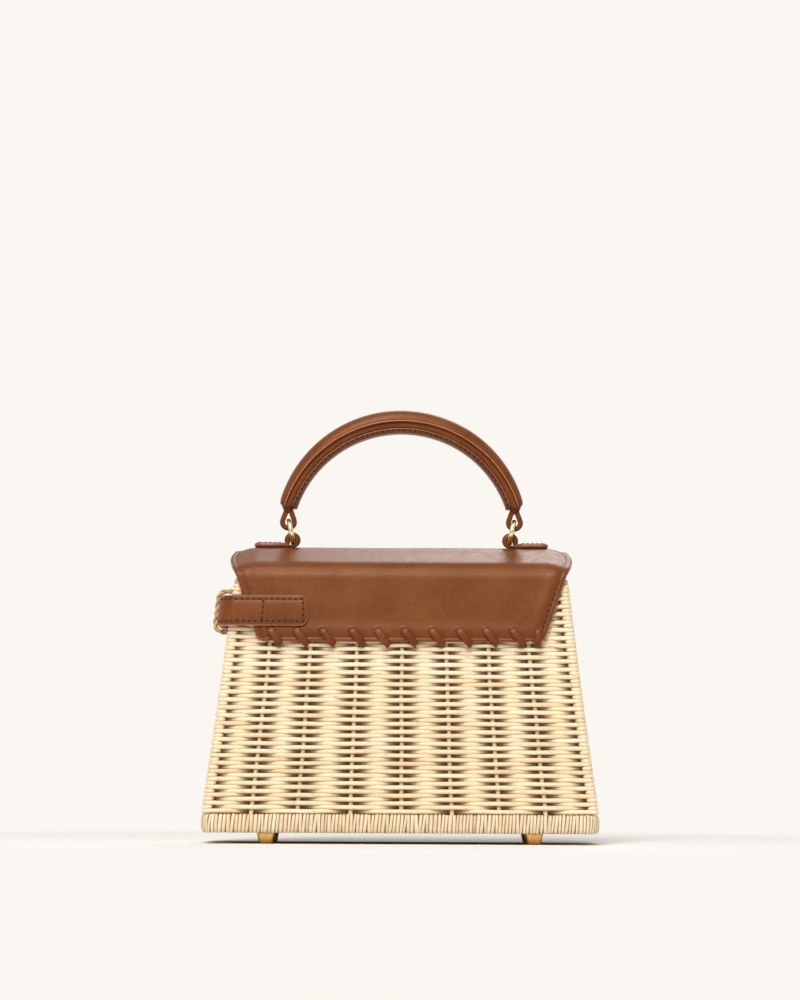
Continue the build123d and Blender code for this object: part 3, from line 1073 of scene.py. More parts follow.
@dataclass
class WrappedHoop:
    """A hoop bound all round with strips of flat cane."""

    name: str
    node: str
    half_width: float
    half_depth: float
    low: float
    high: float
    depth: float
    corner: float
    wardrobe: Wardrobe
    strip: float = 1.94
    dome: float = 0.42
    round_power: float = 0.55
    slant: float = 0.7
    width_spread: float = 0.12
    slant_spread: float = 0.36
    raise_spread: float = 0.09
    turn_points: int = 20
    seed: int = 5
    # Across each strip: place, lift, and share left free of painted shade; the sunk edges take the full painted
    # shade of the slits between strips.
    strand: tuple[tuple[float, float, float], ...] = (
        (-0.49, -0.12, 0.0),
        (-0.3, 0.7, 0.95),
        (0.0, 1.0, 1.0),
        (0.3, 0.7, 0.95),
        (0.49, -0.12, 0.0),
    )

    def section(self, turn: np.ndarray, grow: float) -> tuple[np.ndarray, np.ndarray]:
        """Depth behind the outer face and height, round the hoop's section.

        Args:
            turn: Angles round the section.
            grow: How far outside the strips' own line, which lies a dome inside the hoop's size.

        Returns:
            Inward distances and heights.
        """
        half_in = self.depth / 2 - self.dome + grow
        half_up = (self.high - self.low) / 2 - self.dome + grow
        inward = self.depth / 2 - half_in * eased(np.cos(turn), self.round_power)
        height = (self.low + self.high) / 2 + half_up * eased(np.sin(turn), self.round_power)
        return inward, height

    def place(self, along: np.ndarray, inward: np.ndarray, height: np.ndarray) -> np.ndarray:
        """Points of the hoop at distances along its outer outline."""
        flat, normal = rounded_outline(along, self.half_width, self.half_depth, self.corner)
        return np.column_stack([flat - inward[:, None] * normal, height])

    def build(self) -> bpy.types.Object:
        """Make the core and every strip.

        Returns:
            The wrapped hoop.
        """
        rng = np.random.default_rng(self.seed)
        batch = Patchwork()
        length = outline_length(self.half_width, self.half_depth, self.corner)
        turn = np.linspace(0, 2 * math.pi, self.turn_points, endpoint=False) + 0.1
        self.add_core(batch, length)
        count = int(round(length / self.strip))
        widths = self.strip * (1 + rng.normal(0, self.width_spread, count))
        widths *= length / widths.sum()
        starts = np.concatenate([[0], np.cumsum(widths)])[:-1]
        for index in range(count):
            middle = starts[index] + widths[index] / 2
            lean = self.slant + rng.normal(0, self.slant_spread)
            raised = rng.normal(0, self.raise_spread)
            rows = []
            for share, lift, _ in self.strand:
                inward, height = self.section(turn, self.dome * lift + raised * (lift > 0))
                drift = lean * (height - self.low) / (self.high - self.low) - lean / 2
                rows.append(self.place(middle + share * widths[index] + drift, inward, height))
            grid = np.stack(rows, 1)
            total, strand = self.turn_points, len(self.strand)
            along = np.repeat(np.arange(total) * 1.9, strand) + index * 41.0
            across = np.tile(np.linspace(-0.9, 0.9, strand), total)
            fibre = np.column_stack([along, across + index * 3.0, np.zeros(total * strand)])
            tone = 0.56 + rng.normal(0, 0.14)
            faces = skin(total, strand, closed=True, flip=True, wrap=False)
            unshaded = np.tile([unshaded for _, _, unshaded in self.strand], total)
            batch.add(grid.reshape(-1, 3), faces, 0, tone, fibre, unshaded)
        finishes = [self.wardrobe(Finish.CANE), self.wardrobe(Finish.SHADED_CANE)]
        return batch.make(self.name, finishes, "basket", "cane", (self.node,))

    def add_core(self, batch: Patchwork, length: float) -> None:
        """Add the hoop under the strips, seen only in the gaps between them; its dark finish paints the shade
        there.

        Args:
            batch: Where the mesh is added.
            length: Length round the hoop's outer outline.
        """
        count, sides = int(length / 3.0), 16
        inward, height = self.section(np.linspace(0, 2 * math.pi, sides, endpoint=False), -0.25)
        spots = np.linspace(0, length, count, endpoint=False)
        rings = [self.place(np.full(sides, along), inward, height) for along in spots]
        batch.add(np.concatenate(rings), skin(count, sides, closed=True), 1, 0.4)


# ---------------------------------------------------------------- leather


@dataclass(frozen=True)
class Stitching:
    """A row of stitches: short threads that dip into needle holes."""

    pitch: float = 3.15
    thread_radius: float = 0.33
    hole_length: float = 0.85
    hole_width: float = 0.6
    thread_slot: int = 3
    hole_slot: int = 4

    def sew(self, batch: Patchwork, line: np.ndarray, normals: np.ndarray, closed: bool = False) -> None:
        """Sew along a line on a surface.

        Args:
            batch: Where the stitches are added.
            line: Points of the seam, on the surface.
            normals: Outward normals there.
            closed: True where the seam returns to its start.
        """
        if closed:
            line = np.vstack([line, line[:1]])
            normals = np.vstack([normals, normals[:1]])
        run = run_along(line)
        marks = np.linspace(0, run[-1], max(1, int(round(run[-1] / self.pitch))) + 1)
        share = np.linspace(0.12, 0.88, 6)
        sink = np.array([-0.25, 0.06, 0.12, 0.12, 0.06, -0.25])
        radius = self.thread_radius * np.array([0.7, 0.95, 1, 1, 0.95, 0.7])
        for start, end in zip(marks, marks[1:]):
            where = start + (end - start) * share
            facing = unit(sampled(normals, run, where))
            path = sampled(line, run, where) + sink[:, None] * facing
            batch.tube(path, radius, radius, facing, sides=6, slot=self.thread_slot)
        holes = marks[:-1] if closed else marks
        ahead = sampled(line, run, holes + 0.05)
        self.punch(batch, sampled(line, run, holes), unit(sampled(normals, run, holes)), ahead)

    def punch(self, batch: Patchwork, spots: np.ndarray, facing: np.ndarray, ahead: np.ndarray) -> None:
        """Add the needle holes as small dimples in a dark colour that paints the shade inside them.

        Args:
            batch: Where they are added.
            spots: Their centres.
            facing: Normals there.
            ahead: Points a little further along the seam.
        """
        angle = 2 * math.pi * np.arange(8) / 8
        for spot, normal, further in zip(spots, facing, ahead):
            way = further - spot
            way = unit(way) if np.linalg.norm(way) > 1e-9 else unit(np.cross(normal, (0.3, 0.5, 0.8)))
            side = np.cross(normal, way)
            rim = spot + 0.1 * normal + np.outer(self.hole_length * np.cos(angle), way)
            rim = rim + np.outer(self.hole_width * np.sin(angle), side)
            points = np.vstack([rim, (spot + 0.02 * normal)[None, :]])
            batch.add(points, [(index, (index + 1) % 8, 8) for index in range(8)], self.hole_slot)


@dataclass
class Hide:
    """The hide of the lid: laced on the back wall, folded over the top and down the front."""

    wall: WallForm
    wardrobe: Wardrobe
    thickness: float = 2.2
    back_gap: float = 0.3
    front_gap: float = 5.0
    top: float = 159.1
    eaves: float = 147.5
    crest: float = 6.0
    back_bottom: float = 106.8
    front_bottom: float = 100.0
    shoulder: float = 11.0
    crest_bend: float = 22.0
    bottom_half: float = 75.6
    taper: float = 0.34
    widest: float = 91.4
    corner: float = 3.2
    droop: float = 2.0
    seam_side: float = 3.1
    seam_end: float = 2.6
    groove: float = 0.32
    puff: float = 0.3
    columns: int = 96
    rows: int = 118
    fold_start: tuple[float, float, float] = (0, -0.0365, 0.1380)
    fold_end: tuple[float, float, float] = (0, -0.0305, 0.1440)

    def __post_init__(self) -> None:
        """Lay out the profile, from the back's bottom edge over the top to the flap's bottom edge."""
        stand_back = self.back_gap + self.thickness
        stand_front = self.front_gap + self.thickness
        half = self.thickness / 2
        corners = [
            (-self.wall.off_wall(self.back_bottom + half, stand_back), self.back_bottom + half),
            (-self.wall.off_wall(self.eaves, stand_back), self.eaves),
            (-self.crest, self.top),
            (self.crest, self.top),
            (self.wall.off_wall(self.eaves, stand_front), self.eaves),
            (self.wall.off_wall(self.front_bottom + half, stand_front), self.front_bottom + half),
        ]
        radii = [self.shoulder, self.crest_bend, self.crest_bend, self.shoulder]
        self.profile = filleted(corners, radii, 1.25)
        self.run = run_along(self.profile)
        way = unit(np.gradient(self.profile, axis=0))
        self.facing = np.stack([-way[:, 1], way[:, 0]], 1)
        self.total = float(self.run[-1])

    def half_width(self, place: np.ndarray) -> np.ndarray:
        """Half the hide's width, less the rounded edge, at places along the profile.

        Args:
            place: Distances along the profile.

        Returns:
            One half width for each.
        """
        height = np.interp(place, self.run, self.profile[:, 1])
        wide = self.bottom_half + (height - self.back_bottom) * self.taper
        swell = self.widest - 1.8 * np.exp(-(((self.top - height) / 2.4) ** 2))
        wide = np.where(wide > swell, swell, wide) - self.thickness / 2
        from_end = np.minimum(place, self.total - place)
        short = np.clip(self.corner - from_end, 0, self.corner)
        return wide - (self.corner - np.sqrt(np.maximum(self.corner**2 - short**2, 0)))

    def surface(self, place: np.ndarray, x: np.ndarray) -> tuple[np.ndarray, np.ndarray]:
        """Points and normals of the outer face.

        Args:
            place: Distances along the profile.
            x: Distances from the middle.

        Returns:
            Points and unit normals.
        """
        y = np.interp(place, self.run, self.profile[:, 0])
        z = np.interp(place, self.run, self.profile[:, 1])
        facing_y = np.interp(place, self.run, self.facing[:, 0])
        facing_z = np.interp(place, self.run, self.facing[:, 1])
        normal = unit(np.stack([np.zeros_like(y), facing_y, facing_z], -1))
        side = self.half_width(place) + self.thickness / 2 - self.seam_side - np.abs(x)
        end = np.minimum(place, self.total - place) + self.thickness / 2 - self.seam_end
        near = np.minimum(np.abs(side), np.where(side > -0.5, np.abs(end), 99.0))
        inside = np.minimum(side, end)
        lift = -self.groove * np.exp(-((near / 0.75) ** 2))
        lift = lift + self.puff * np.exp(-(((inside - 3.6) / 3.2) ** 2)) * (inside > 0)
        lift = lift + 0.1 * np.sin(x / 19 + place / 27) * np.sin(place / 15 - x / 37)
        reach = np.abs(x)
        drop = self.droop * smooth_step(reach, 77.0, 88.0)
        level = smooth_step(facing_z, 0.25, 1.0)
        points = np.stack([x, y, z], -1) + lift[..., None] * normal
        points[..., 2] -= drop * level
        return points, normal

    def build(self) -> bpy.types.Object:
        """Make the hide with its seams.

        Returns:
            The hide.
        """
        batch = Patchwork()
        fine = self.corner * (1 - np.cos(np.linspace(0, math.pi / 2, 8)))
        middle = np.linspace(self.corner, self.total - self.corner, self.rows)
        places = np.concatenate([fine[:-1], middle, self.total - fine[-2::-1]])
        level = np.linspace(-1, 1, self.columns)
        across = np.sin(level * math.pi / 2) * 0.45 + level * 0.55
        place = np.repeat(places[:, None], self.columns, 1)
        x = across[None, :] * self.half_width(places)[:, None]
        face, _ = self.surface(place, x)
        batch.sheet(face, grid_normals(face), self.thickness)
        self.sew(batch)
        piece = batch.make("lid_hide", self.wardrobe.leather(), "", "leather", ("back_panel", "lid"))
        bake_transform(piece)
        return piece

    def sew(self, batch: Patchwork) -> None:
        """Sew round the whole hide, a little inside its edge.

        Args:
            batch: Where the mesh is added.
        """
        seam_end = self.seam_end - self.thickness / 2
        places = np.arange(seam_end, self.total - seam_end, 0.8)
        half = self.half_width(np.maximum(places, 4.0)) + self.thickness / 2 - self.seam_side
        round_off, across = 2.2, 160
        ends = [np.full(across, places[0]), np.full(across, places[-1])]
        bottom = np.linspace(-half[0] + round_off, half[0] - round_off, across)
        flap = np.linspace(half[-1] - round_off, -half[-1] + round_off, across)
        rising = places + round_off * np.exp(-(places - places[0]))
        place = np.concatenate([ends[0], rising, ends[1], places[::-1]])
        spots, normals = self.surface(place, np.concatenate([bottom, half, flap, -half[::-1]]))
        Stitching().sew(batch, spots, normals, closed=True)


@dataclass
class Lacing:
    """The whip stitches that lace the hide to the basket."""

    wall: WallForm
    wardrobe: Wardrobe
    count: int = 11
    pitch: float = 14.32
    first_x: float = -70.0
    hole_height: float = 113.4
    half_width: float = 2.0
    half_thickness: float = 0.72
    knots: tuple[tuple[float, float, float], ...] = (
        (-0.2, 1.1, 0.8),
        (0.0, 0.5, 2.5),
        (0.6, -0.9, 3.5),
        (2.1, -3.0, 3.7),
        (3.9, -5.1, 3.6),
        (5.3, -6.7, 3.0),
        (6.1, -7.6, 1.4),
        (6.4, -8.0, -0.6),
    )
    last_run: float = -0.12

    def build(self) -> bpy.types.Object:
        """Make the laces and the lips of their holes.

        Returns:
            The laces, as one piece.
        """
        batch = Patchwork()
        rng = np.random.default_rng(3)
        for index in range(self.count):
            x = self.first_x + index * self.pitch + rng.normal(0, 0.25)
            run = 1.0 if index < self.count - 1 else self.last_run
            self.lace(batch, x, run * (1 + rng.normal(0, 0.03)), rng.normal(0, 0.15))
            self.hole(batch, x)
        finishes = [self.wardrobe(Finish.LACE), self.wardrobe(Finish.EDGE), self.wardrobe(Finish.HOLE)]
        return batch.make("lace_stitches", finishes, "basket", "leather", ("lacing",))

    def lace(self, batch: Patchwork, x: float, run: float, rise: float) -> None:
        """Add one lace, out of its hole, over the hide's edge and in under the first row.

        Args:
            batch: Where it is added.
            x: Place of its hole.
            run: How far it goes to the side, 1 for the usual slant.
            rise: A small change of height.
        """
        top = self.hole_height + rise
        spots = [self.wall.on_back(x + side * run, top + up, stand) for side, up, stand in self.knots]
        path = flowing(spots, 5)
        wide = self.half_width * (1 + 0.06 * np.sin(np.linspace(0, math.pi, len(path))))
        batch.tube(path, wide, self.half_thickness, self.wall.back_normal, 14, power=0.7)

    def hole(self, batch: Patchwork, x: float) -> None:
        """Add the hole, a dark disc of painted shade, and its raised lip above a lace.

        Args:
            batch: Where the mesh is added.
            x: Place of the hole.
        """
        top = self.hole_height
        turn = np.linspace(-0.25, math.pi + 0.25, 15)
        lip = [self.wall.on_back(x + 2.15 * math.cos(a), top + 0.1 + 1.5 * math.sin(a), 2.55) for a in turn]
        radius = 0.34 * np.sin(np.linspace(0.35, math.pi - 0.35, len(lip)))
        batch.tube(np.array(lip), radius, radius * 0.8, self.wall.back_normal, 8, slot=1)
        angle = 2 * math.pi * np.arange(16) / 16
        disc = [self.wall.on_back(x + 1.95 * math.cos(a), top - 0.1 + 1.45 * math.sin(a), 2.62) for a in angle]
        batch.add(np.array(disc), [tuple(range(16))], 2)


@dataclass
class SideStrap:
    """The strap sewn on the back, round the left side and under the flap, and its keeper."""

    wall: WallForm
    wardrobe: Wardrobe
    bottom: float = 115.1
    height: float = 16.4
    thickness: float = 2.2
    stand: float = 2.85
    side_gap: float = 3.9
    back_end: float = 49.4
    front_end: float = 50.0
    bend: float = 9.2
    tip_round: float = 3.0
    seam: float = 2.35
    box_start: float = -73.2
    keeper_height: float = 24.6
    keeper_reach: float = 8.6
    keeper_rise: float = 0.9

    def line(self, height: float) -> np.ndarray:
        """The strap's outer face seen from above at a height.

        Args:
            height: Height of the cut.

        Returns:
            Points along it, from the back to the front.
        """
        back = -self.wall.off_wall(height, self.stand + self.thickness)
        side = -self.wall.half_width(height) - self.side_gap - self.thickness
        front = self.wall.off_wall(height, 0.35 + self.thickness)
        half = self.thickness / 2
        corners = [(-self.back_end - half, back), (side, back), (side, front), (-self.front_end - half, front)]
        rough = filleted(corners, self.bend, 0.5)
        run = run_along(rough)
        ends = self.tip_round * (1 - np.cos(np.linspace(0, math.pi / 2, 6)))
        middle = np.linspace(self.tip_round, run[-1] - self.tip_round, 96)
        return sampled(rough, run, np.concatenate([ends[:-1], middle, run[-1] - ends[-2::-1]]))

    def build(self) -> bpy.types.Object:
        """Make the strap with its seams.

        Returns:
            The strap.
        """
        batch = Patchwork()
        across = np.linspace(-1, 1, 17)
        middle = self.bottom + self.height / 2
        length = run_along(self.line(middle))
        from_end = np.minimum(length, length[-1] - length)
        short = np.clip(self.tip_round - from_end, 0, self.tip_round)
        half = self.height / 2 - self.thickness / 2 - (self.tip_round - np.sqrt(self.tip_round**2 - short**2))
        levels = [middle - self.height / 2, middle + self.height / 2]
        low, high = (self.line(level) for level in levels)
        heights = middle + half[:, None] * across[None, :]
        share = ((heights - levels[0]) / self.height)[..., None]
        flat = low[:, None, :] * (1 - share) + high[:, None, :] * share
        grid = np.concatenate([flat, heights[..., None]], -1)
        normal = grid_normals(grid)
        if normal[2, 8, 1] > 0:
            normal = -normal
        reach = np.abs(heights - middle)
        dip = -0.22 * np.exp(-(((reach - (self.height / 2 - self.seam)) / 0.7) ** 2))
        puff = 0.28 * (1 - (reach / (self.height / 2)) ** 2)
        grid = grid + (dip + puff - 0.28)[..., None] * normal
        batch.sheet(grid, normal, self.thickness)
        self.sew(batch, grid, normal, length, heights, middle)
        finishes = self.wardrobe.leather(Finish.PALE_EDGE)
        return batch.make("side_strap", finishes, "basket", "leather", ("strap",))

    def sew(
        self,
        batch: Patchwork,
        grid: np.ndarray,
        normal: np.ndarray,
        length: np.ndarray,
        heights: np.ndarray,
        middle: float,
    ) -> None:
        """Sew round the strap and across it.

        Args:
            batch: Where the stitches are added.
            grid, normal: The strap's face and its normals.
            length: Distances along the strap.
            heights: Heights of the grid's points; not used.
            middle: Height of the strap's middle.
        """

        def spot(along: float, up: float) -> tuple[np.ndarray, np.ndarray]:
            """Point and normal at a distance along the strap and a height.

            Args:
                along: Distance along the strap.
                up: Height.

            Returns:
                The point and its unit normal.
            """
            both = np.concatenate([grid, normal], -1)
            column = np.array([[np.interp(along, length, both[:, c, a]) for a in range(6)] for c in range(17)])
            found = np.array([np.interp(up, column[:, 2], column[:, a]) for a in range(6)])
            return found[:3], unit(found[3:])

        inset = self.seam - self.thickness / 2
        rise = self.height / 2 - self.seam
        ends = (inset, length[-1] - inset)
        corners = [(ends[0], -rise), (ends[1], -rise), (ends[1], rise), (ends[0], rise)]
        loop = []
        for (a0, u0), (a1, u1) in zip(corners, corners[1:] + corners[:1]):
            steps = max(6, int(abs(a1 - a0) / 2.0))
            loop += [(a0 + (a1 - a0) * k / steps, u0 + (u1 - u0) * k / steps) for k in range(steps)]
        cross = float(np.interp(-self.box_start, -grid[:60, 8, 0], length[:60]))
        box = [(cross, up) for up in np.linspace(-rise + 1.2, rise - 1.2, 8)]
        for seam, closed in ((loop, True), (box, False)):
            found = [spot(along, middle + up) for along, up in seam]
            Stitching().sew(batch, np.array([p for p, _ in found]), np.array([n for _, n in found]), closed)

    def keeper(self) -> bpy.types.Object:
        """Make the twisted rattan loop that holds the strap.

        Returns:
            The loop.
        """
        batch = Patchwork()
        middle = self.bottom + self.height / 2 + self.keeper_rise
        high, low = middle + self.keeper_height / 2 - 1.3, middle - self.keeper_height / 2 + 1.3
        foot_in = 2.0
        corners = [
            (-self.wall.half_width(high) + foot_in, high),
            (-self.wall.half_width(high) - self.keeper_reach, high),
            (-self.wall.half_width(low) - self.keeper_reach, low),
            (-self.wall.half_width(low) + foot_in, low),
        ]
        arch = filleted(corners, 4.2, 0.7)
        way = unit(np.gradient(arch, axis=0))
        aside = np.stack([way[:, 1], -way[:, 0]], 1)
        run = run_along(arch)
        number = 0
        for rope, handed in ((-1.4, 1), (1.4, -1)):
            for strand in (0, math.pi):
                turn = handed * 2 * math.pi * run / 8.5 + strand
                out = 0.62 * np.cos(turn)
                path = np.column_stack(
                    [arch[:, 0] + aside[:, 0] * out, rope + 0.62 * np.sin(turn), arch[:, 1] + aside[:, 1] * out]
                )
                batch.tube(path, 0.74, 0.74, (0, 1, 0), 8, tone=0.45 + 0.12 * number, start=number * 31.0)
                number += 1
        return batch.make("strap_keeper", [self.wardrobe(Finish.KEEPER)], "basket", "rattan", ("keeper_loop",))


@dataclass
class Handle:
    """The arched handle: a padded grip over a two layer strap that ends in two loops."""

    wardrobe: Wardrobe
    grip_centre: float = 165.4
    grip_radius: float = 68.5
    grip_half_width: float = 6.3
    half_sweep: float = 77.0
    strap_centre: float = 161.7
    strap_outer: float = 66.2
    strap_seam: float = 61.9
    strap_inner: float = 59.5
    end_height: float = 180.3
    core_half_width: float = 4.9
    flange_half_width: float = 5.6
    loop_x: float = 61.15
    loop_centre: float = 172.7
    loop_mid_radius: float = 3.25
    loop_half_thickness: float = 1.4
    loop_half_width: float = 2.5
    apex: float = 181.1
    neck: tuple[tuple[float, float, float, float], ...] = (
        (60.9, 184.0, 3.9, 4.6),
        (61.2, 181.6, 3.6, 4.3),
        (61.3, 179.8, 2.7, 3.4),
        (61.2, 177.9, 1.9, 2.5),
    )

    def arc_point(self, centre: float, radius: float, angle: np.ndarray, y: np.ndarray) -> np.ndarray:
        """Points on an arc over the bag."""
        return np.stack([radius * np.sin(angle), y, centre + radius * np.cos(angle)], -1)

    def end_angle(self, radius: float) -> float:
        """Angle at which an arc about the strap's centre comes down to the handle's ends."""
        return math.acos((self.end_height - self.strap_centre) / radius)

    def lofted(self, batch: Patchwork, rings: np.ndarray, slot: int = 0) -> None:
        """Add a closed surface through a row of rings, with flat ends."""
        batch.add(rings.reshape(-1, 3), skin(*rings.shape[:2], flip=True), slot)

    def grip(self, batch: Patchwork) -> None:
        """Add the padded grip, thinner towards its ends.

        Args:
            batch: Where the mesh is added.
        """
        turn = np.linspace(-0.12, math.pi + 0.12, 19)
        share = np.linspace(-1, 1, 81)
        rings = []
        for place in share:
            angle = math.radians(self.half_sweep) * place
            strap_angle = self.end_angle(self.strap_outer) * place * 0.985
            outer = self.arc_point(self.grip_centre, self.grip_radius, np.array(angle), np.array(0.0))
            inner = self.arc_point(self.strap_centre, self.strap_outer, np.array(strap_angle), np.array(0.0))
            edge = math.sqrt(1 - max(0.0, 1 - (1 - abs(place)) / 0.06) ** 2)
            outer = inner + (outer - inner) * (0.3 + 0.7 * edge)
            tall = outer - inner
            ring = inner + np.outer(np.sin(turn), tall)
            wide = self.grip_half_width * (0.7 + 0.3 * edge)
            ring[:, 1] = wide * eased(np.cos(turn), 0.82)
            rings.append(ring)
        self.lofted(batch, np.array(rings))

    def layer(self, batch: Patchwork, outer: float, inner: float, half: float, slot: int = 0) -> None:
        """Add one layer of the strap, with rounded sides.

        Args:
            batch: Where it is added.
            outer, inner: Radii of its two faces.
            half: Half its width.
            slot: Finish.
        """
        turn = 2 * math.pi * np.arange(20) / 20
        radii = (outer + inner) / 2 + (outer - inner) / 2 * eased(np.sin(turn), 0.6)
        limits = np.array([self.end_angle(radius) for radius in radii])
        sides = half * eased(np.cos(turn), 0.35)
        places = np.linspace(-1, 1, 73)
        rings = [self.arc_point(self.strap_centre, radii, limits * place, sides) for place in places]
        self.lofted(batch, np.array(rings), slot)

    def edges(self, batch: Patchwork) -> None:
        """Add the pale edges of the grip and of the strap's seam: edge paint that is partly a painted
        highlight.

        Args:
            batch: Where the mesh is added.
        """
        for radius, half, thick in (
            (self.strap_outer, self.grip_half_width - 0.05, 0.3),
            (self.strap_seam, self.flange_half_width - 0.05, 0.2),
        ):
            limit = self.end_angle(radius) * 0.985
            angle = np.linspace(-limit, limit, 73)
            for side in (-1, 1):
                path = self.arc_point(self.strap_centre, radius, angle, np.full(len(angle), side * half))
                batch.tube(path, thick, thick, (0, 1, 0), 8, slot=1)

    def sew(self, batch: Patchwork) -> None:
        """Sew the flange on both faces.

        Args:
            batch: Where the mesh is added.
        """
        radius = (self.strap_seam + self.strap_inner) / 2 + 0.3
        limit = self.end_angle(radius) * 0.97
        angle = np.linspace(-limit, limit, 160)
        for side in (-1, 1):
            line = self.arc_point(self.strap_centre, radius, angle, np.full(160, side * self.flange_half_width))
            normals = np.tile(np.array([0.0, side, 0.0]), (160, 1))
            Stitching(pitch=2.9, hole_length=0.7).sew(batch, line, normals)

    def loop(self, batch: Patchwork, side: int) -> None:
        """Add the leather loop that hangs on a ring.

        Args:
            batch: Where it is added.
            side: 1 for the right, -1 for the left.
        """
        reach = self.apex - self.loop_centre
        tangent = math.acos(self.loop_mid_radius / reach)
        apex = np.array([-0.6, reach])
        turn = np.linspace(math.pi / 2 + tangent, 5 * math.pi / 2 - tangent, 24)
        bow = np.stack([self.loop_mid_radius * np.cos(turn), 0.3 + self.loop_mid_radius * np.sin(turn)], 1)
        down, up = np.linspace(apex, bow[0], 6), np.linspace(bow[-1], apex + [1.0, 0], 6)
        outline = np.vstack([down[:-1], bow, up[1:]])
        across = side * (self.loop_x + outline[:, 0])
        path = np.column_stack([across, np.zeros(len(outline)), self.loop_centre + outline[:, 1]])
        if side < 0:
            path = path[::-1]
        batch.tube(path, self.loop_half_thickness, self.loop_half_width, (0, 1, 0), 14, power=0.6)
        x, z, wide, deep = np.array(self.neck).T
        batch.tube(np.column_stack([side * x, np.zeros(len(x)), z]), wide, deep, (0, 1, 0), 16, power=0.7)

    def build(self) -> bpy.types.Object:
        """Make the whole handle.

        Returns:
            The handle.
        """
        batch = Patchwork()
        self.grip(batch)
        self.layer(batch, self.strap_outer + 0.6, self.strap_seam, self.core_half_width)
        self.layer(batch, self.strap_seam, self.strap_inner, self.flange_half_width)
        self.edges(batch)
        self.sew(batch)
        for side in (-1, 1):
            self.loop(batch, side)
        finishes = self.wardrobe.leather(Finish.PALE_EDGE)
        return batch.make("carry_handle", finishes, "handle", "leather", ("handle_strap", "handle_grip"))


@dataclass
class Tabs:
    """The tabs on the lid, each rolled round a ring, and the rings."""

    wardrobe: Wardrobe
    lid_top: float = 159.1
    outer_x: float = 79.4
    inner_x: float = 61.6
    half_width: float = 5.5
    thickness: float = 2.5
    loop_x: float = 58.85
    loop_radius: float = 4.2
    eye_height: float = 2.9
    eye_radius: float = 1.4
    loop_half_width: float = 2.5
    ring_x: float = 59.9
    ring_z: float = 167.8
    ring_radius: float = 6.1
    ring_wire: float = 1.2
    ring_lean: float = 11.0
    ring_yaw: float = 4.0

    def tab(self, side: int) -> bpy.types.Object:
        """Make one tab.

        Args:
            side: 1 for the right, -1 for the left.

        Returns:
            The tab.
        """
        batch = Patchwork()
        half = self.thickness / 2
        along = np.linspace(self.outer_x - half, self.inner_x, 26)
        corner = 2.4
        from_end = (self.outer_x - half) - along
        short = np.clip(corner - from_end, 0, corner)
        wide = self.half_width - half - (corner - np.sqrt(np.maximum(corner**2 - short**2, 0)))
        wide = wide - 2.6 * smooth_step(along, 66.0, 61.0)
        across = np.linspace(-1, 1, 11)
        grid = np.zeros((len(along), 11, 3))
        grid[..., 0] = side * along[:, None]
        grid[..., 1] = wide[:, None] * across[None, :]
        grid[..., 2] = self.lid_top + self.thickness
        normal = np.zeros_like(grid)
        normal[..., 2] = 1.0
        batch.sheet(grid, normal, self.thickness)
        there = self.outer_x - 2.2 - 0.7 * np.arange(18)
        seam = np.concatenate([there, there[::-1]])
        aside = np.repeat([-3.1, 3.1], 18)
        line = np.column_stack([side * seam, aside, np.full(len(seam), self.lid_top + self.thickness)])
        Stitching(pitch=2.6).sew(batch, line, np.tile(np.array([0.0, 0.0, 1.0]), (len(line), 1)), closed=True)
        turn = np.linspace(math.radians(-100), math.radians(215), 34)
        round_it = np.stack([-np.cos(turn), np.sin(turn)], 1)
        outer = np.array([self.loop_x, self.lid_top + self.loop_radius]) + self.loop_radius * round_it
        inner = np.array([self.loop_x, self.lid_top + self.eye_height]) + self.eye_radius * round_it
        middle, wall = (outer + inner) / 2, np.linalg.norm(outer - inner, axis=1) / 2
        path = np.column_stack([side * middle[:, 0], np.zeros(len(turn)), middle[:, 1]])
        lead = [(side * (self.inner_x + x), 0.0, self.lid_top + z) for x, z in ((4.0, 1.0), (1.6, 0.9))]
        path = np.vstack([lead, path])
        wall = np.concatenate([[0.9, 0.8], wall])
        batch.tube(path, wall, self.loop_half_width, (0, 1, 0), 12, power=0.6)
        hand = "left" if side < 0 else "right"
        return batch.make(f"lid_tab_{hand}", self.wardrobe.leather(), "lid", "leather", (f"tab_{hand}",))

    def ring(self, side: int) -> bpy.types.Object:
        """Make one ring, upright across the bag, its top leaning outwards.

        Args:
            side: 1 for the right, -1 for the left.

        Returns:
            The ring.
        """
        batch = Patchwork()
        turn = np.linspace(0, 2 * math.pi, 56, endpoint=False)
        lean, yaw = math.radians(side * self.ring_lean), math.radians(side * self.ring_yaw)
        y, z = self.ring_radius * np.cos(turn), self.ring_radius * np.sin(turn)
        x = z * math.sin(lean)
        path = np.column_stack(
            [
                side * self.ring_x + x + y * math.sin(yaw),
                y * math.cos(yaw),
                self.ring_z + z * math.cos(lean),
            ]
        )
        batch.tube(path, self.ring_wire, self.ring_wire, (1, 0.2, 0.1), 14, closed=True)
        hand = "left" if side < 0 else "right"
        finishes = [self.wardrobe(Finish.GOLD)]
        return batch.make(f"gold_ring_{hand}", finishes, f"ring_{hand}", "brass", (f"ring_{hand}",))

    def build(self) -> list[bpy.types.Object]:
        """Make both tabs and both rings."""
        return [self.tab(-1), self.tab(1), self.ring(-1), self.ring(1)]


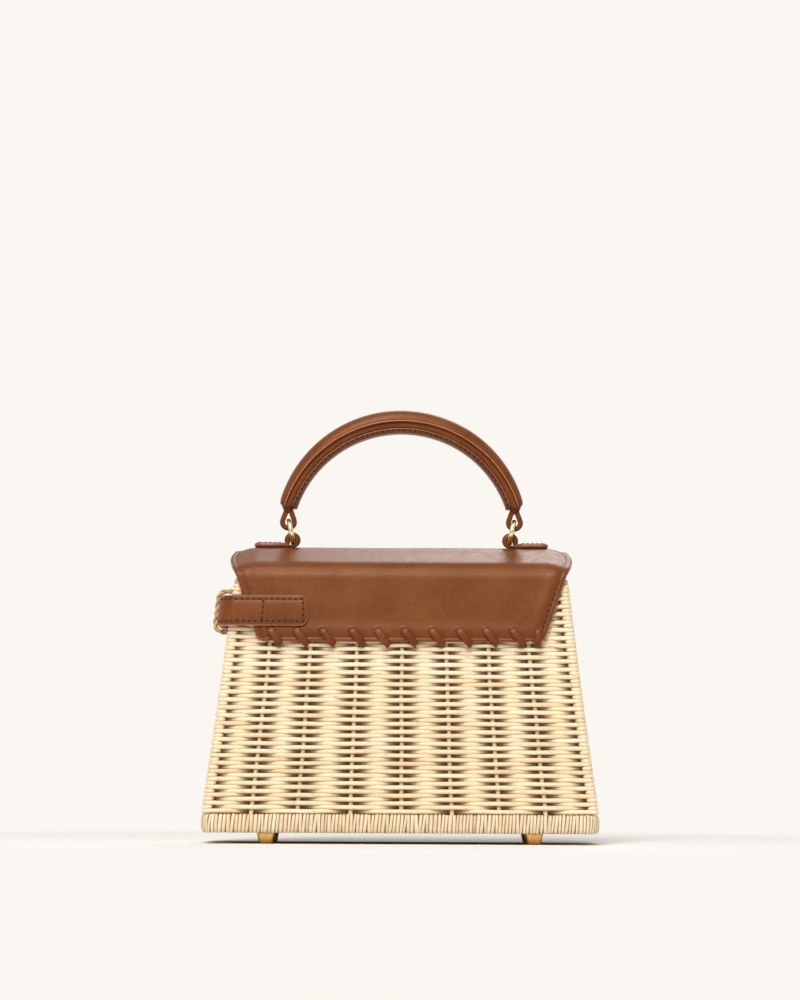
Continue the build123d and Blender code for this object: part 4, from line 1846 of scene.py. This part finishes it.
@dataclass
class Feet:
    """The tapered brass feet."""

    wardrobe: Wardrobe
    height: float = 5.8
    top_half: float = 4.7
    bottom_half: float = 3.6
    corner: float = 1.4
    foot_x: float = 70.8
    foot_y: float = 32.0
    sides: int = 48
    levels: tuple[tuple[float, float], ...] = (
        (0.0, -0.75),
        (0.12, -0.38),
        (0.45, -0.1),
        (0.9, 0.0),
        (3.4, 0.0),
        (5.2, 0.0),
        (5.6, -0.05),
        (5.8, -0.2),
    )

    def build(self) -> list[bpy.types.Object]:
        """Make the four feet.

        Returns:
            The four feet.
        """
        made = []
        for side_x, hand in ((-1, "left"), (1, "right")):
            for side_y, end in ((-1, "back"), (1, "front")):
                rings = []
                for height, grow in self.levels:
                    half = self.bottom_half + (self.top_half - self.bottom_half) * height / self.height + grow
                    radius = max(self.corner + grow, 0.4)
                    spots = np.linspace(0, outline_length(half, half, radius), self.sides, endpoint=False)
                    flat, _ = rounded_outline(spots, half, half, radius)
                    flat = flat + (side_x * self.foot_x, side_y * self.foot_y)
                    rings.append(np.column_stack([flat, np.full(self.sides, height)]))
                batch = Patchwork()
                batch.add(np.concatenate(rings), skin(len(rings), self.sides, flip=True))
                name, finishes = f"foot_{end}_{hand}", [self.wardrobe(Finish.BRASS)]
                made.append(batch.make(f"brass_{name}", finishes, "basket", "brass", (name,)))
        return made


# ---------------------------------------------------------------- studio


@dataclass
class Studio:
    """Floor, backdrop, lamps and camera."""

    backdrop: tuple[int, int, int] = (250, 246, 241)
    ambient: float = 0.27
    shadow_middle: float = 0.12
    distance: float = 1.70
    eye_height: float = 0.030
    aim_height: float = 0.1283
    picture_height: float = 0.525
    shift: float = 0.1
    roll: float = -0.27
    centre_x: float = -0.0001
    floor_reach: float = 6.0
    floor_colour: tuple[int, int, int] = (253, 250, 246)
    fade: tuple[float, float] = (0.2, 0.44)
    model_back: float = -0.0475
    bag_middle: tuple[float, float, float] = (0, 0, 0.1)

    def world(self) -> None:
        """Light the bag evenly and show the backdrop's colour behind it."""
        world = bpy.data.worlds.new("studio")
        bpy.context.scene.world = world
        world.use_nodes = True
        nodes = Nodes(world.node_tree)
        output, mix = nodes.node("OutputWorld"), nodes.node("MixShader")
        light = nodes.node("Background", Color=(1.0, 0.985, 0.96, 1), Strength=self.ambient)
        seen = nodes.node("Background", Color=srgb(*self.backdrop), Strength=1.0)
        path, way, parts = nodes.node("LightPath"), nodes.node("TexCoord"), nodes.node("SeparateXYZ")
        behind = nodes.node("MapRange", From_Min=-0.7, From_Max=0.3, To_Min=0.3)
        nodes.join(way, "Generated", parts, 0)
        nodes.join(parts, "Y", behind, "Value")
        glossy = nodes.calculate("MULTIPLY", behind.outputs["Result"], path.outputs["Is Glossy Ray"])
        clear = nodes.calculate("MAXIMUM", path.outputs["Is Camera Ray"], path.outputs["Is Transmission Ray"])
        share = nodes.calculate("MAXIMUM", glossy.outputs[0], clear.outputs[0])
        for place, source in enumerate((share, light, seen)):
            nodes.join(source, 0, mix, place)
        nodes.join(mix, 0, output, 0)

    def floor(self) -> None:
        """Lay a pale floor that keeps the shadow near the bag and fades into the backdrop."""
        mesh = bpy.data.meshes.new("floor")
        reach = self.floor_reach
        corners = [(x * reach, y * reach, 0) for x, y in ((-1, -1), (1, -1), (1, 1), (-1, 1))]
        mesh.from_pydata(corners, [], [(0, 1, 2, 3)])
        floor = bpy.data.objects.new("floor", mesh)
        bpy.context.scene.collection.objects.link(floor)
        shader = Shader("pale_floor")
        shader.set(Base_Color=srgb(*self.floor_colour), Roughness=1.0, Specular_IOR_Level=0.0)
        glow = shader.node("Emission", Color=srgb(*self.backdrop))
        distance = shader.node("VectorMath", operation="DISTANCE")
        distance.inputs[1].default_value = (0.0, self.shadow_middle, 0.0)
        shader.join(shader.node("TexCoord"), "Object", distance, 0)
        near, far = self.fade
        fade = shader.node("MapRange", interpolation_type="SMOOTHSTEP", From_Min=near, From_Max=far)
        shader.join(distance, "Value", fade, "Value")
        path = shader.node("LightPath")
        amount = shader.calculate("MULTIPLY", fade.outputs["Result"], path.outputs["Is Camera Ray"])
        mix = shader.node("MixShader")
        for place, source in enumerate((amount, shader.surface, glow)):
            shader.join(source, 0, mix, place)
        shader.join(mix, 0, shader.output, "Surface")
        mesh.materials.append(shader.material)

    def lamp(self, name: str, place: tuple[float, float, float], size: float, watts: float) -> None:
        """Hang a soft square lamp that points at the bag.

        Args:
            name: Its name.
            place: Where it hangs, in metres.
            size: Length of its sides, in metres.
            watts: Its power.
        """
        light = bpy.data.lights.new(name, "AREA")
        light.energy = watts
        light.size = size
        lamp = bpy.data.objects.new(name, light)
        bpy.context.scene.collection.objects.link(lamp)
        lamp.location = place
        lamp.rotation_euler = (Vector(self.bag_middle) - Vector(place)).to_track_quat("-Z", "Y").to_euler()

    def camera(self) -> None:
        """Set up the camera low in front of the laced side, as the photograph has it."""
        data = bpy.data.cameras.new("camera")
        data.sensor_width = 36.0
        data.lens = 36.0 * self.distance / self.picture_height
        data.shift_y = self.shift
        camera = bpy.data.objects.new("camera", data)
        bpy.context.scene.collection.objects.link(camera)
        camera.location = (self.centre_x, self.model_back - self.distance, self.eye_height)
        tilt = math.atan2(self.aim_height - self.eye_height, self.distance)
        camera.rotation_euler = (math.pi / 2 + tilt, math.radians(self.roll), 0)
        bpy.context.scene.camera = camera

    def build(self) -> None:
        """Set up everything round the bag."""
        bpy.context.scene.view_settings.view_transform = "Standard"
        self.world()
        self.floor()
        self.lamp("top_light", (-0.2, -1.3, 2.5), 0.8, 20.0)
        self.lamp("front_light", (-0.6, -3.1, 2.5), 1.3, 98.0)
        self.lamp("back_light", (0.5, 2.6, 2.6), 1.2, 21.0)
        self.camera()


def dress_nodes(frame: dict, wardrobe: Wardrobe) -> None:
    """Give the model's own nodes their finish.

    Args:
        frame: The loaded frame.
        wardrobe: The finishes.
    """
    finishes = {
        "base_board": Finish.BOARD,
        # The corner posts have no shade attribute, so the reed finish paints them wholly in its painted shade
        # colour.
        "corner_post_back_left": Finish.REED,
        "corner_post_back_right": Finish.REED,
        "corner_post_front_left": Finish.REED,
        "corner_post_front_right": Finish.REED,
        "foot_screws": Finish.STEEL,
        "snap_stud": Finish.BRASS,
        "snap_socket": Finish.BRASS,
    }
    for name, finish in finishes.items():
        materials = frame["nodes"][name].data.materials
        materials.clear()
        materials.append(wardrobe(finish))


def main() -> None:
    """Load the frame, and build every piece."""
    logging.basicConfig(level=logging.INFO, format="%(message)s")
    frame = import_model()
    wardrobe = Wardrobe()
    wall = WallForm()
    WovenBody(wall, wardrobe).build()
    foot = (wall.base_width / 2, wall.base_depth / 2, wall.foot_height, wall.rim_top)
    WrappedHoop("foot_rim", "base_rim", *foot, 7.5, 9.0, wardrobe).build()
    mouth_x, mouth_y = float(wall.half_width(wall.mouth_top)), float(wall.half_depth(wall.mouth_top))
    mouth = (mouth_x, mouth_y, wall.weave_top, wall.mouth_top)
    WrappedHoop("mouth_rim", "top_rim", *mouth, 6.0, 7.0, wardrobe, seed=8, turn_points=14).build()
    Hide(wall, wardrobe).build()
    Lacing(wall, wardrobe).build()
    strap = SideStrap(wall, wardrobe)
    strap.build()
    strap.keeper()
    Handle(wardrobe).build()
    Tabs(wardrobe).build()
    Feet(wardrobe).build()
    dress_nodes(frame, wardrobe)
    Studio().build()


if __name__ == "__main__":
    main()
